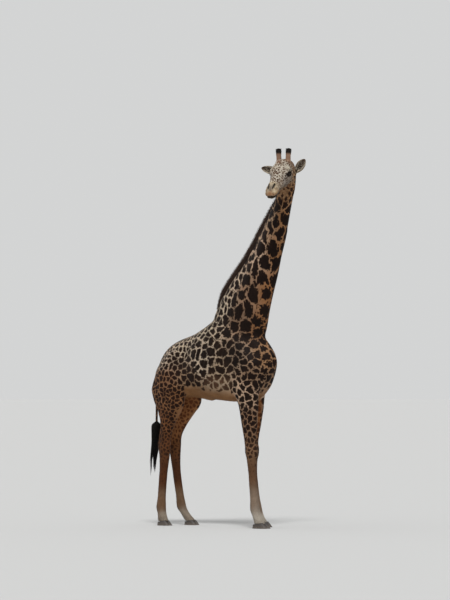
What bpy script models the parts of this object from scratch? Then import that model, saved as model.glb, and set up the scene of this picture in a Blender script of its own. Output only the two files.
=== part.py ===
"""A life-size standing bull giraffe, parted into the pieces a person would name.

The flesh is modelled whole: each region is a loft of cross-sections taken at named
anatomical stations, the lofts are fused by a voxel remesh, the creases where they meet
are filled, and thin slabs then part the body into head, neck, trunk and legs.  Eyes,
ossicones, ears, mane, tail and hooves are pieces of their own.

Metres, +Z up.  The animal faces +X and its left side is +Y.  While it is built, X = 0
is the line of the elbows; at the end the whole is moved so that the origin lies under
the middle of its outline, on the floor.
"""

import math

import bmesh
import bpy
import numpy as np
from mathutils import Matrix, Vector

# ---- Driving dimensions -------------------------------------------------------------

GAP = 0.0004                    # half the width of a parting cut
SEAM = 0.0012                   # clearance round a piece that is set into the flesh
VOXEL = 0.016                   # grid of the remesh that fuses the lofts
HEAD_VOXEL = 0.009              # a finer grid for the head
BODY_TRIANGLES = 3500
HEAD_TRIANGLES = 1200

# Trunk: x, top, bottom, half width, height of the widest level, of vertical sections.
TRUNK = {
    "buttock": (-1.662, 2.07, 1.85, 0.070, 1.98),
    "tail root": (-1.600, 2.260, 1.81, 0.135, 2.02),
    "dock": (-1.530, 2.405, 1.80, 0.180, 2.06),
    "croup": (-1.420, 2.525, 1.80, 0.225, 2.10),
    "hip": (-1.250, 2.615, 1.80, 0.275, 2.14),
    "loin": (-0.980, 2.705, 1.815, 0.305, 2.16),
    "last rib": (-0.780, 2.81, 1.79, 0.350, 2.15),
    "barrel": (-0.560, 2.925, 1.765, 0.360, 2.14),
    "girth": (-0.300, 2.93, 1.745, 0.320, 2.13),
    "shoulder": (-0.050, 2.82, 1.745, 0.265, 2.16),
    "breast": (0.140, 2.66, 1.83, 0.220, 2.22),
    "point of breast": (0.270, 2.50, 2.02, 0.155, 2.30),
    "breastbone": (0.335, 2.40, 2.20, 0.070, 2.31),
}

# Neck: x, y, z of its axis, half depth from nape to throat, half width, twist in degrees
# towards the side that the head looks to.
NECK = {
    "between the shoulders": (-0.320, 0.000, 2.560, 0.430, 0.205, 0),
    "root": (-0.225, 0.000, 2.860, 0.435, 0.200, 0),
    "lower third": (-0.090, 0.000, 3.175, 0.378, 0.180, 0),
    "below the middle": (0.115, 0.000, 3.570, 0.284, 0.155, 0),
    "middle": (0.255, -0.005, 3.890, 0.226, 0.137, 4),
    "upper third": (0.392, -0.015, 4.210, 0.194, 0.126, 14),
    "below the throat": (0.515, -0.030, 4.530, 0.166, 0.118, 34),
    "throat": (0.590, -0.048, 4.740, 0.150, 0.114, 56),
    "nape": (0.622, -0.066, 4.930, 0.128, 0.110, 80),
}

# Head, in its own frame: distance ahead of the nape joint, top, bottom, half width and
# height of the widest level.  The mouth lies along the frame's forward axis.
HEAD = {
    "back of the skull": (-0.105, 0.030, -0.120, 0.050, -0.04),
    "poll": (-0.055, 0.115, -0.140, 0.084, -0.01),
    "crown": (0.000, 0.150, -0.140, 0.102, 0.00),
    "jaw angle": (0.080, 0.186, -0.190, 0.116, 0.00),
    "horn base": (0.150, 0.198, -0.190, 0.124, 0.03),
    "eye": (0.225, 0.186, -0.168, 0.143, 0.05),
    "below the eye": (0.300, 0.150, -0.148, 0.136, 0.03),
    "cheek": (0.380, 0.105, -0.136, 0.114, 0.00),
    "nose bridge": (0.460, 0.072, -0.130, 0.094, -0.02),
    "above the lips": (0.540, 0.046, -0.137, 0.084, -0.04),
    "nostril": (0.605, 0.020, -0.152, 0.083, -0.06),
    "lips": (0.665, -0.016, -0.156, 0.080, -0.075),
    "muzzle tip": (0.705, -0.046, -0.136, 0.058, -0.090),
}
HEAD_JOINT = (0.622, -0.072, 4.960)
HEAD_HEADING = -81.0            # degrees from the body's forward axis, to its right
HEAD_PITCH = -26.0              # degrees below level, of the line of the mouth

# Foreleg: height, front edge, back edge (both ahead of the leg's own line), half width.
FORELEG = {
    "top of the shoulder blade": (2.76, -0.24, -0.50, 0.050),
    "shoulder blade": (2.58, -0.06, -0.47, 0.095),
    "below the shoulder blade": (2.42, 0.11, -0.43, 0.118),
    "point of the shoulder": (2.27, 0.23, -0.36, 0.125),
    "upper arm": (2.06, 0.21, -0.28, 0.118),
    "elbow": (1.84, 0.185, -0.205, 0.100),
    "below the elbow": (1.68, 0.168, -0.150, 0.086),
    "forearm": (1.45, 0.132, -0.125, 0.076),
    "above the knee": (1.20, 0.092, -0.098, 0.064),
    "knee": (1.05, 0.092, -0.087, 0.078),
    "below the knee": (0.94, 0.071, -0.073, 0.065),
    "cannon": (0.70, 0.053, -0.061, 0.051),
    "lower cannon": (0.42, 0.054, -0.063, 0.051),
    "fetlock": (0.27, 0.063, -0.075, 0.062),
    "pastern": (0.17, 0.065, -0.066, 0.062),
    "coronet": (0.06, 0.088, -0.076, 0.072),
}

# Hind leg, the same way; its line runs through the hock.
HINDLEG = {
    "hip point": (2.44, 0.24, 0.03, 0.070),
    "rump": (2.30, 0.29, -0.09, 0.112),
    "upper thigh": (2.13, 0.34, -0.165, 0.133),
    "thigh": (1.94, 0.37, -0.205, 0.132),
    "stifle": (1.76, 0.355, -0.160, 0.115),
    "below the stifle": (1.60, 0.285, -0.090, 0.094),
    "gaskin": (1.42, 0.170, -0.070, 0.074),
    "above the hock": (1.25, 0.100, -0.100, 0.063),
    "hock": (1.12, 0.089, -0.112, 0.071),
    "below the hock": (0.98, 0.078, -0.084, 0.064),
    "cannon": (0.72, 0.061, -0.065, 0.054),
    "lower cannon": (0.42, 0.060, -0.063, 0.054),
    "fetlock": (0.27, 0.065, -0.077, 0.063),
    "pastern": (0.17, 0.065, -0.066, 0.062),
    "coronet": (0.06, 0.083, -0.073, 0.069),
}

# Each leg's line: x and y at the listed heights.  The right feet stand at -Y.
LEG_LINES = {
    "foreleg_right": {2.4: (-0.02, -0.190), 1.8: (0.02, -0.190), 1.05: (0.065, -0.165),
                      0.27: (0.140, -0.175), 0.06: (0.215, -0.180)},
    "foreleg_left": {2.4: (-0.02, 0.190), 1.8: (-0.14, 0.190), 1.05: (-0.138, 0.165),
                     0.27: (-0.060, 0.170), 0.06: (0.005, 0.175)},
    "hindleg_right": {2.4: (-1.36, -0.175), 1.8: (-1.405, -0.195), 1.12: (-1.420, -0.150),
                      0.27: (-1.468, -0.170), 0.06: (-1.440, -0.175)},
    "hindleg_left": {2.4: (-1.36, 0.175), 1.8: (-1.405, 0.195), 1.12: (-1.460, 0.150),
                     0.27: (-1.362, 0.170), 0.06: (-1.222, 0.175)},
}
LEG_TABLES = {"foreleg": FORELEG, "hindleg": HINDLEG}

# Hooves: length, width of the pair, height at the front and at the heel.
HOOVES = {"foreleg": (0.235, 0.170, 0.088, 0.048), "hindleg": (0.195, 0.152, 0.080, 0.044)}
HOOF_AHEAD = 0.034              # the hoof's middle ahead of the coronet's line
CLEFT = 0.010                   # gap between the two claws at the floor

# Where each leg parts from the trunk: back, front, height of the cut near the middle and
# height of the cut at the flank, 0.60 out.
LEG_REGIONS = {"foreleg": (-0.340, 0.330, 1.700, 2.300), "hindleg": (-1.700, -0.830, 1.800, 2.300)}
LEG_INNER = 0.030
THROAT_CUT = 0.915              # share of the neck's length where the head parts from it
THROAT_CUT_SLOPE = 38.0

# Small parts of the head, in the head's frame: ahead, up, left.
EYE = (0.266, 0.039, 0.1150)
EYE_RADIUS = 0.0310
OSSICONE_FOOT = (0.142, 0.070, 0.062)
OSSICONE_LEAN = (-0.45, 0.89, 0.055)
OSSICONE_LENGTH = 0.278
OSSICONE_RADII = (0.030, 0.036, 0.041, 0.0385, 0.0350, 0.0340, 0.0360, 0.0385, 0.0375)
EAR_ROOT = (0.035, -0.034, 0.118)
EAR_LENGTH = 0.300
EAR_WIDTH = 0.124
EAR_WALL = 0.009
EAR_DIRECTIONS = {"right": (0.34, 0.44, -0.86), "left": (0.04, 0.71, 0.70)}

# Mane: how high it stands over the nape line, and how thick it is.
MANE_HEIGHT = 0.088
MANE_HALF_THICKNESS = 0.017
MANE_ROOT = 0.030               # how deep the mane is set into the neck
MANE_FROM, MANE_TO = 0.135, 0.985   # shares of the neck's length

# Tail: x, z of the stalk's line and its half thickness, then the tuft.
TAIL = {
    "root": (-1.500, 2.300, 0.056),
    "over the rump": (-1.630, 2.200, 0.044),
    "upper stalk": (-1.690, 2.000, 0.033),
    "lower stalk": (-1.676, 1.700, 0.026),
    "tip": (-1.680, 1.440, 0.024),
}
TUFT = {
    "top": (-1.681, 1.470, 0.030),
    "shoulder": (-1.688, 1.380, 0.055),
    "middle": (-1.705, 1.150, 0.062),
    "thinning": (-1.735, 0.900, 0.048),
    "end": (-1.765, 0.660, 0.014),
}

COLOURS = {
    "coat": (0.235, 0.150, 0.095, 1.0),
    "dark hair": (0.020, 0.014, 0.010, 1.0),
    "horn": (0.060, 0.052, 0.045, 1.0),
    "eye": (0.010, 0.007, 0.005, 1.0),
}


# ---- Curves through stations --------------------------------------------------------


def through(known, values, at):
    """Values at the places `at` on a smooth curve through (known, values) that never
    overshoots: a cubic whose slope at each station is the harmonic mean of its sides."""
    known, values = np.asarray(known, float), np.asarray(values, float)
    if values.ndim == 1:
        return through(known, values[:, None], at)[:, 0]
    step = np.diff(known)[:, None]
    slope = np.diff(values, axis=0) / step
    same_way = slope[:-1] * slope[1:] > 0
    harmonic = 2 * slope[:-1] * slope[1:] / np.where(same_way, slope[:-1] + slope[1:], 1)
    tangent = np.vstack([slope[:1], np.where(same_way, harmonic, 0), slope[-1:]])
    i = np.clip(np.searchsorted(known, at, side="right") - 1, 0, len(known) - 2)
    h = np.diff(known)[i][:, None]
    t = (np.asarray(at)[:, None] - known[i][:, None]) / h
    return ((2 * t**3 - 3 * t**2 + 1) * values[i] + (t**3 - 2 * t**2 + t) * h * tangent[i]
            + (3 * t**2 - 2 * t**3) * values[i + 1] + (t**3 - t**2) * h * tangent[i + 1])


def rounded(angles, power):
    """Cosine and sine of the angles on a superellipse of that power."""
    c, s = np.cos(angles), np.sin(angles)
    return (np.sign(c) * np.abs(c) ** (2 / power), np.sign(s) * np.abs(s) ** (2 / power))


def egg_sections(table, count, around, power=2.15):
    """Sections (count, around, 2) as (sideways, up) and their places along the loft, for
    a table of place, top, bottom, half width and widest level."""
    rows = np.array(sorted(table.values()))
    at = np.linspace(rows[0, 0], rows[-1, 0], count)
    top, bottom, half, level = through(rows[:, 0], rows[:, 1:], at).T[:, :, None]
    side, rise = rounded(np.linspace(0, 2 * math.pi, around, endpoint=False), power)
    up = level + np.where(rise > 0, (top - level) * rise, (level - bottom) * rise)
    return at, np.stack([half * side, up], axis=2)


# ---- Lofts --------------------------------------------------------------------------


def loft(name, rings):
    """A closed mesh object through rings (count, around, 3), with a flat cap at each end
    and its faces turned outwards."""
    count, around = rings.shape[:2]
    i, j = np.meshgrid(np.arange(count - 1), np.arange(around), indexing="ij")
    k = (j + 1) % around
    quads = np.stack([i * around + j, i * around + k, (i + 1) * around + k,
                      (i + 1) * around + j], axis=2).reshape(-1, 4)
    first = list(range(around))
    last = [(count - 1) * around + j for j in first]
    mesh = bpy.data.meshes.new(name)
    mesh.from_pydata(rings.reshape(-1, 3).tolist(), [], [*quads.tolist(), first, last])
    made = bmesh.new()
    made.from_mesh(mesh)
    bmesh.ops.triangulate(made, faces=made.faces)
    bmesh.ops.recalc_face_normals(made, faces=made.faces)
    made.to_mesh(mesh)
    made.free()
    obj = bpy.data.objects.new(name, mesh)
    bpy.context.scene.collection.objects.link(obj)
    return obj


def trunk_loft():
    at, sections = egg_sections(TRUNK, 44, 40, power=2.1)
    x = np.broadcast_to(at[:, None], sections.shape[:2])
    return loft("trunk loft", np.stack([x, sections[:, :, 0], sections[:, :, 1]], axis=2))


def neck_line(at):
    """Axis point, nape direction, left direction, half depth and half width of the neck
    at shares `at` of its length.  The nape direction turns with the twist."""
    rows = np.array(list(NECK.values()))
    length = np.concatenate([[0], np.cumsum(np.linalg.norm(np.diff(rows[:, :3], axis=0),
                                                           axis=1))])
    share = length / length[-1]
    axis = through(share, rows[:, :3], at)
    nearby = 0.02
    ahead = (through(share, rows[:, :3], np.clip(at + nearby, 0, 1))
             - through(share, rows[:, :3], np.clip(at - nearby, 0, 1)))
    ahead /= np.linalg.norm(ahead, axis=1)[:, None]
    depth, width, twist = through(share, rows[:, 3:], at).T
    turn = np.radians(twist)
    behind = np.stack([-np.cos(turn), np.sin(turn), np.zeros_like(turn)], axis=1)
    nape = behind - (behind * ahead).sum(1)[:, None] * ahead
    nape /= np.linalg.norm(nape, axis=1)[:, None]
    left = np.cross(ahead, nape)
    return axis, nape, -left, depth[:, None], width[:, None]


def neck_loft():
    axis, nape, left, depth, width = neck_line(np.linspace(0, 1, 60))
    side, rise = rounded(np.linspace(0, 2 * math.pi, 36, endpoint=False), 2.1)
    slim = np.where(rise > 0, 1 - 0.22 * rise**2, 1.0)   # slimmer along the nape
    rings = (axis[:, None] + nape[:, None] * (depth * rise)[:, :, None]
             + left[:, None] * (width * side * slim)[:, :, None])
    return loft("neck loft", rings)


def head_frame():
    """The matrix from the head's frame (ahead, up, left) to the body's."""
    heading, pitch = math.radians(HEAD_HEADING), math.radians(HEAD_PITCH)
    ahead = Vector((math.cos(heading) * math.cos(pitch),
                    math.sin(heading) * math.cos(pitch), math.sin(pitch)))
    left = Vector((-math.sin(heading), math.cos(heading), 0))
    up = ahead.cross(left)
    place = Matrix((ahead, up, left)).transposed().to_4x4()
    place.translation = HEAD_JOINT
    return place


def in_head(ahead, up, left):
    """Points of the head's frame (arrays or numbers) in the body's."""
    frame = np.array(head_frame())
    local = np.stack(np.broadcast_arrays(ahead, up, left), axis=-1).astype(float)
    return local @ frame[:3, :3].T + frame[:3, 3]


def head_loft():
    at, sections = egg_sections(HEAD, 44, 32, power=2.3)
    return loft("head loft", in_head(at[:, None], sections[:, :, 1], sections[:, :, 0]))


def leg_line(leg, heights):
    """x and y of a leg's line at the heights."""
    rows = sorted(LEG_LINES[leg].items())
    clipped = np.clip(heights, rows[0][0], rows[-1][0])
    return through([z for z, _ in rows], [xy for _, xy in rows], clipped)


def leg_loft(leg):
    rows = np.array(sorted(LEG_TABLES[leg.split("_")[0]].values()))
    heights = np.linspace(rows[0, 0], rows[-1, 0], 90)
    front, back, half = through(rows[:, 0], rows[:, 1:], heights).T
    line = leg_line(leg, heights)
    ahead, aside = rounded(np.linspace(0, 2 * math.pi, 28, endpoint=False), 2.2)
    rings = np.empty((len(heights), len(ahead), 3))
    rings[:, :, 0] = (line[:, :1] + ((front + back) / 2)[:, None]
                      + ((front - back) / 2)[:, None] * ahead)
    rings[:, :, 1] = line[:, 1:] + half[:, None] * aside
    rings[:, :, 2] = heights[:, None]
    return loft(leg + " loft", rings)


def tube(name, table, around=12, count=13):
    """A round tube in the plane of the body's middle, through rows of x, z, radius."""
    rows = np.array(list(table.values()))
    share = np.linspace(0, 1, len(rows))
    x, z, radius = through(share, rows, np.linspace(0, 1, count)).T
    across = np.stack([np.gradient(z), -np.gradient(x)], axis=1)
    across /= np.linalg.norm(across, axis=1)[:, None]
    angles = np.linspace(0, 2 * math.pi, around, endpoint=False)
    rings = np.empty((count, around, 3))
    rings[:, :, 0] = x[:, None] + across[:, :1] * radius[:, None] * np.cos(angles)
    rings[:, :, 1] = radius[:, None] * np.sin(angles)
    rings[:, :, 2] = z[:, None] + across[:, 1:] * radius[:, None] * np.cos(angles)
    return loft(name, rings)


# ---- Fusing lofts into flesh --------------------------------------------------------


def evaluated_mesh(obj):
    graph = bpy.context.evaluated_depsgraph_get()
    return bpy.data.meshes.new_from_object(obj.evaluated_get(graph), depsgraph=graph)


def remove(*objects):
    for obj in objects:
        bpy.data.objects.remove(obj)


def fused(name, lofts, voxel):
    """One closed mesh round all the lofts, by a voxel remesh.  The lofts are removed."""
    mesh = bpy.data.meshes.new(name)
    gathered = bmesh.new()
    for part in lofts:
        gathered.from_mesh(part.data)
    gathered.to_mesh(mesh)
    gathered.free()
    obj = bpy.data.objects.new(name, mesh)
    bpy.context.scene.collection.objects.link(obj)
    remesh = obj.modifiers.new("fuse", "REMESH")
    remesh.mode = "VOXEL"
    remesh.voxel_size = voxel
    obj.data = evaluated_mesh(obj)
    obj.modifiers.clear()
    remove(*lofts)
    return obj


def edges_and_normals(mesh):
    """Edge ends, a function for each vertex's mean neighbour, and one for its normal."""
    ends = np.empty(len(mesh.edges) * 2, np.int32)
    mesh.edges.foreach_get("vertices", ends)
    a, b = ends.reshape(-1, 2).T
    total = len(mesh.vertices)
    degree = np.bincount(a, minlength=total) + np.bincount(b, minlength=total)
    mesh.calc_loop_triangles()
    corners = np.empty(len(mesh.loop_triangles) * 3, np.int32)
    mesh.loop_triangles.foreach_get("vertices", corners)
    corners = corners.reshape(-1, 3)

    def mean_neighbour(co):
        summed = [np.bincount(a, co[b, k], total) + np.bincount(b, co[a, k], total)
                  for k in range(3)]
        return np.stack(summed, axis=1) / degree[:, None]

    def normals(co):
        p, q, r = (co[corners[:, k]] for k in range(3))
        face = np.cross(q - p, r - p)
        summed = [sum(np.bincount(corners[:, c], face[:, k], total) for c in range(3))
                  for k in range(3)]
        made = np.stack(summed, axis=1)
        return made / np.maximum(np.linalg.norm(made, axis=1), 1e-12)[:, None]

    return mean_neighbour, normals


def settle(obj, smoothing, filling):
    """Smooths the remeshed surface a little, then fills its creases: each step moves a
    vertex outwards wherever its neighbours' mean lies outside it."""
    mesh = obj.data
    mean_neighbour, normals = edges_and_normals(mesh)
    co = np.empty(len(mesh.vertices) * 3)
    mesh.vertices.foreach_get("co", co)
    co = co.reshape(-1, 3)
    for step in range(smoothing):
        co += (0.5 if step % 2 == 0 else -0.51) * (mean_neighbour(co) - co)
    for _ in range(filling):
        pull = mean_neighbour(co) - co
        normal = normals(co)
        outwards = (pull * normal).sum(1)[:, None]
        co += 0.9 * np.maximum(outwards, 0) * normal + 0.15 * (pull - outwards * normal)
    mesh.vertices.foreach_set("co", co.ravel())
    mesh.update()


def thinned(obj, triangles):
    """Leaves about that many triangles."""
    mesh = obj.data
    mesh.calc_loop_triangles()
    decimate = obj.modifiers.new("thin", "DECIMATE")
    decimate.ratio = triangles / len(mesh.loop_triangles)
    decimate.use_collapse_triangulate = True
    obj.data = evaluated_mesh(obj)
    obj.modifiers.clear()


# ---- Parting and cutting ------------------------------------------------------------


def block(name, corners):
    """A closed cutter with six faces, from its eight corners: four round the bottom,
    then the four above them."""
    low, high = corners[:4], corners[4:]
    mesh = bpy.data.meshes.new(name)
    sides = [(i, (i + 1) % 4, 4 + (i + 1) % 4, 4 + i) for i in range(4)]
    mesh.from_pydata([*low, *high], [], [(3, 2, 1, 0), (4, 5, 6, 7), *sides])
    made = bmesh.new()
    made.from_mesh(mesh)
    bmesh.ops.recalc_face_normals(made, faces=made.faces)
    made.to_mesh(mesh)
    made.free()
    obj = bpy.data.objects.new(name, mesh)
    bpy.context.scene.collection.objects.link(obj)
    return obj


def boolean(obj, cutter, operation="DIFFERENCE"):
    """Applies a Boolean and removes nothing: the caller owns the cutter."""
    change = obj.modifiers.new(operation.lower(), "BOOLEAN")
    change.operation = operation
    change.object = cutter
    change.solver = "EXACT"
    obj.data = evaluated_mesh(obj)
    obj.modifiers.clear()


def grown(obj, by):
    """A copy of obj whose faces have all moved outwards by about that much, for cutting
    what touches it.  A vertex on a sharp edge moves further, so that its faces clear."""
    copy = copied(obj, obj.name + " grown")
    mesh = copy.data
    moves = [vertex.normal.copy() for vertex in mesh.vertices]
    least = [1.0] * len(moves)
    for face in mesh.polygons:
        for i in face.vertices:
            least[i] = min(least[i], moves[i].dot(face.normal))
    for vertex, move, share in zip(mesh.vertices, moves, least):
        vertex.co += move * (by / max(share, 0.3))
    mesh.update()
    return copy


def cut_by(obj, *neighbours):
    """Cuts obj back to a hair's breadth from each neighbour."""
    for neighbour in neighbours:
        cutter = grown(neighbour, SEAM)
        boolean(obj, cutter)
        remove(cutter)


# ---- The flesh ----------------------------------------------------------------------


def neck_plane():
    """Centre and normal of the cut between neck and trunk, from withers to breast."""
    withers, breast = Vector((-0.640, 0, 3.00)), Vector((0.270, 0, 2.52))
    across = (breast - withers).normalized()
    return (withers + breast) / 2, Vector((-across.z, 0, across.x))


def throat_plane():
    """Centre and normal of the cut between head and neck: it falls from the nape towards
    the throat, under the chin."""
    centre = neck_line(np.array([THROAT_CUT]))[0][0]
    heading = math.radians(HEAD_HEADING)
    slope = math.radians(THROAT_CUT_SLOPE)
    normal = (math.sin(slope) * math.cos(heading), math.sin(slope) * math.sin(heading),
              math.cos(slope))
    return Vector(centre), Vector(normal)


def leg_block(leg, margin):
    """The region that holds one leg, below a top that rises outwards into the flank."""
    side = -1 if leg.endswith("right") else 1
    back, front, inner_top, outer_top = LEG_REGIONS[leg.split("_")[0]]
    back, front = back - margin, front + margin
    inner, outer = side * (LEG_INNER - margin), side * 0.60
    floor = -0.1
    low = [(back, inner, floor), (front, inner, floor), (front, outer, floor),
           (back, outer, floor)]
    tops = [inner_top, inner_top, outer_top, outer_top]
    high = [(x, y, top + 1.5 * margin) for (x, y, _), top in zip(low, tops)]
    return block(leg + " region", low + high)


def copied(obj, name):
    copy = bpy.data.objects.new(name, obj.data.copy())
    bpy.context.scene.collection.objects.link(copy)
    return copy


def make_flesh():
    """Head, neck, trunk and legs as parted objects, by name."""
    body = fused("body", [trunk_loft(), neck_loft(), head_loft(),
                          *(leg_loft(leg) for leg in LEG_LINES)], VOXEL)
    settle(body, 4, 22)
    thinned(body, BODY_TRIANGLES)
    head = fused("head", [neck_loft(), head_loft()], HEAD_VOXEL)
    settle(head, 4, 22)
    centre, normal = throat_plane()
    trim(body, centre, normal, above=False)
    trim(head, centre + normal * 2 * GAP, normal, above=True)
    thinned(head, HEAD_TRIANGLES)
    parts = {"head": head}
    centre, normal = neck_plane()
    parts["neck"] = copied(body, "neck")
    trim(parts["neck"], centre + normal * 2 * GAP, normal, above=True)
    trim(body, centre, normal, above=False)
    parts["trunk"] = body
    for leg in LEG_LINES:
        parts[leg] = copied(body, leg)
        region = leg_block(leg, 0.0)
        boolean(parts[leg], region, "INTERSECT")
        remove(region)
    for leg in LEG_LINES:
        region = leg_block(leg, 2 * GAP)
        boolean(body, region)
        remove(region)
    return parts


def trim(obj, centre, normal, above):
    """Keeps what lies above or below a plane, and closes the cut."""
    mesh = bmesh.new()
    mesh.from_mesh(obj.data)
    everything = mesh.verts[:] + mesh.edges[:] + mesh.faces[:]
    cut = bmesh.ops.bisect_plane(mesh, geom=everything, plane_co=centre, plane_no=normal,
                                 clear_outer=not above, clear_inner=above)
    edges = [e for e in cut["geom_cut"] if isinstance(e, bmesh.types.BMEdge)]
    filled = bmesh.ops.holes_fill(mesh, edges=edges)
    bmesh.ops.triangulate(mesh, faces=filled["faces"])
    mesh.to_mesh(obj.data)
    mesh.free()


# ---- Pieces on the flesh ------------------------------------------------------------


def make_eye(side):
    sign = 1 if side == "left" else -1
    centre = Vector(in_head(EYE[0], EYE[1], sign * EYE[2]))
    mesh = bpy.data.meshes.new("eye_" + side)
    made = bmesh.new()
    bmesh.ops.create_uvsphere(made, u_segments=12, v_segments=8, radius=EYE_RADIUS)
    bmesh.ops.translate(made, vec=centre, verts=made.verts)
    made.to_mesh(mesh)
    made.free()
    obj = bpy.data.objects.new("eye_" + side, mesh)
    bpy.context.scene.collection.objects.link(obj)
    return obj


def make_ossicone(side):
    """A blunt, skin-covered horn with a knobbed top."""
    sign = 1 if side == "left" else -1
    foot = np.array([OSSICONE_FOOT[0], OSSICONE_FOOT[1], sign * OSSICONE_FOOT[2]])
    lean = np.array([OSSICONE_LEAN[0], OSSICONE_LEAN[1], sign * OSSICONE_LEAN[2]])
    lean /= np.linalg.norm(lean)
    ahead = np.array([1.0, 0, 0]) - lean[0] * lean
    ahead /= np.linalg.norm(ahead)
    aside = np.cross(lean, ahead)
    share = np.linspace(0, 1, 9)
    known = np.linspace(0, 0.94, len(OSSICONE_RADII))
    radius = through(known, OSSICONE_RADII, np.minimum(share, 0.94))
    radius = radius * np.sqrt(1 - ((share - 0.90) / 0.12).clip(0) ** 2)
    angles = np.linspace(0, 2 * math.pi, 12, endpoint=False)
    local = (foot + (share * OSSICONE_LENGTH)[:, None, None] * lean
             + radius[:, None, None] * (np.cos(angles)[:, None] * ahead
                                        + np.sin(angles)[:, None] * aside))
    return loft("ossicone_" + side, in_head(local[..., 0], local[..., 1], local[..., 2]))


def make_ear(side):
    """A leaf-shaped shell, rolled into a tube at its root and open towards the front."""
    sign = 1 if side == "left" else -1
    root = np.array([EAR_ROOT[0], EAR_ROOT[1], sign * EAR_ROOT[2]])
    out = np.array(EAR_DIRECTIONS[side])
    out /= np.linalg.norm(out)
    ahead = np.array([1.0, 0.1, 0]) - out[0] * out
    ahead /= np.linalg.norm(ahead)
    across = np.cross(out, ahead)
    share = np.linspace(0, 0.985, 11)
    leaf = EAR_WIDTH / 2 * np.sin(math.pi * share**1.15) ** 0.65
    leaf = np.maximum(leaf, 0.026 * (1 - share) ** 1.5)
    roll = 0.70 + 1.10 * (1 - share) ** 1.2
    wall = EAR_WALL * (0.45 + 0.55 * (1 - share))
    turn = np.linspace(-1, 1, 7)
    rings = np.empty((len(share), 2 * len(turn), 3))
    for i, s in enumerate(share):
        bend = turn * roll[i]
        bow = leaf[i] / max(math.sin(min(roll[i], math.pi / 2)), 0.2)
        outer = np.stack([bow * np.sin(bend), bow * (math.cos(roll[i]) - np.cos(bend))], 1)
        thick = wall[i] * np.sqrt(1 - 0.75 * turn**2)
        inner = outer + np.stack([-np.sin(bend), np.cos(bend)], 1) * thick[:, None]
        outline = np.vstack([outer, inner[::-1]])
        rings[i] = (root + out * EAR_LENGTH * (s - 0.10)
                    + across * outline[:, :1] + ahead * outline[:, 1:])
    return loft("ear_" + side, in_head(rings[..., 0], rings[..., 1], rings[..., 2]))


def make_mane():
    """A brush of stiff hair along the nape, from the withers to between the ears."""
    share = np.linspace(MANE_FROM, MANE_TO, 26)
    axis, nape, left, depth, _ = neck_line(share)
    along = (share - MANE_FROM) / (MANE_TO - MANE_FROM)
    height = MANE_HEIGHT * np.clip(np.sin(math.pi * along) * 3.2, 0.0, 1.0) ** 0.7
    rise = np.array([-0.06, 0.75, 1.0, 0.75, -0.06])
    thick = np.array([1.0, 0.8, 0.0, -0.8, -1.0]) * MANE_HALF_THICKNESS
    level = np.where(rise[None] < 0, -MANE_ROOT, rise[None] * np.maximum(height, 0.012)[:, None])
    rings = (axis[:, None] + nape[:, None] * (depth + level)[:, :, None]
             + left[:, None] * np.broadcast_to(thick, level.shape)[:, :, None])
    return loft("mane", rings)


def coronet_plane(leg):
    """x and height of the middle of the hoof's top, and its rise towards the toe."""
    length, _, front, heel = HOOVES[leg.split("_")[0]]
    x = leg_line(leg, np.array([0.06]))[0, 0]
    return x + HOOF_AHEAD, (front + heel) / 2, (front - heel) / length


def make_claw(leg, inner):
    """One half of a cloven hoof, with a flat sole on the floor and a sloping top."""
    length, width = HOOVES[leg.split("_")[0]][:2]
    side = -1 if leg.endswith("right") else 1
    y = leg_line(leg, np.array([0.06]))[0, 1]
    middle, height, rise = coronet_plane(leg)
    claw_half = (width - CLEFT) / 4
    share = np.array([0.0, 0.04, 0.5, 1.0])
    angles = np.linspace(0, 2 * math.pi, 14, endpoint=False)
    ahead, aside = rounded(angles, 2.6)
    toe = 1 - 0.30 * np.clip(ahead, 0, 1) ** 2           # narrower towards the toe
    rings = np.empty((len(share), len(angles), 3))
    for i, s in enumerate(share):
        splay = 1.0 if s > 0 else 0.975
        half_length = length / 2 * (1 - 0.32 * s) * splay
        half = claw_half * (1 - 0.12 * s) * splay
        drift = -0.14 * length * s                        # the front wall slopes back
        towards = (claw_half + CLEFT / 2) * (1 - 0.10 * s) * (-side if inner else side)
        rings[i, :, 0] = middle + drift + half_length * ahead
        rings[i, :, 1] = y + towards + half * aside * toe
        rings[i, :, 2] = s * (height + rise * (rings[i, :, 0] - middle) - GAP)
    return loft(f"hoof_{leg}_{'inner' if inner else 'outer'}", rings)


# ---- Assembly -----------------------------------------------------------------------


def material(name):
    made = bpy.data.materials.new(name)
    made.use_nodes = True
    shader = made.node_tree.nodes["Principled BSDF"]
    shader.inputs["Base Color"].default_value = COLOURS[name]
    shader.inputs["Roughness"].default_value = {"eye": 0.1, "horn": 0.5}.get(name, 0.85)
    shader.inputs["Metallic"].default_value = 0.0
    return made


def end_legs(parts):
    """Ends each leg on the sloping plane of its hoof's top."""
    for leg in LEG_LINES:
        middle, height, rise = coronet_plane(leg)
        trim(parts[leg], Vector((middle, 0, height)), Vector((-rise, 0, 1)).normalized(),
             above=True)


def centre_on_origin(objects):
    """Moves everything so that the outline's middle is over the origin."""
    co = np.vstack([np.array([v.co for v in o.data.vertices]) for o in objects])
    low, high = co.min(0), co.max(0)
    shift = Matrix.Translation((-(low[0] + high[0]) / 2, -(low[1] + high[1]) / 2, 0))
    for obj in objects:
        obj.data.transform(shift)
    print("shift", *shift.translation)


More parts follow.
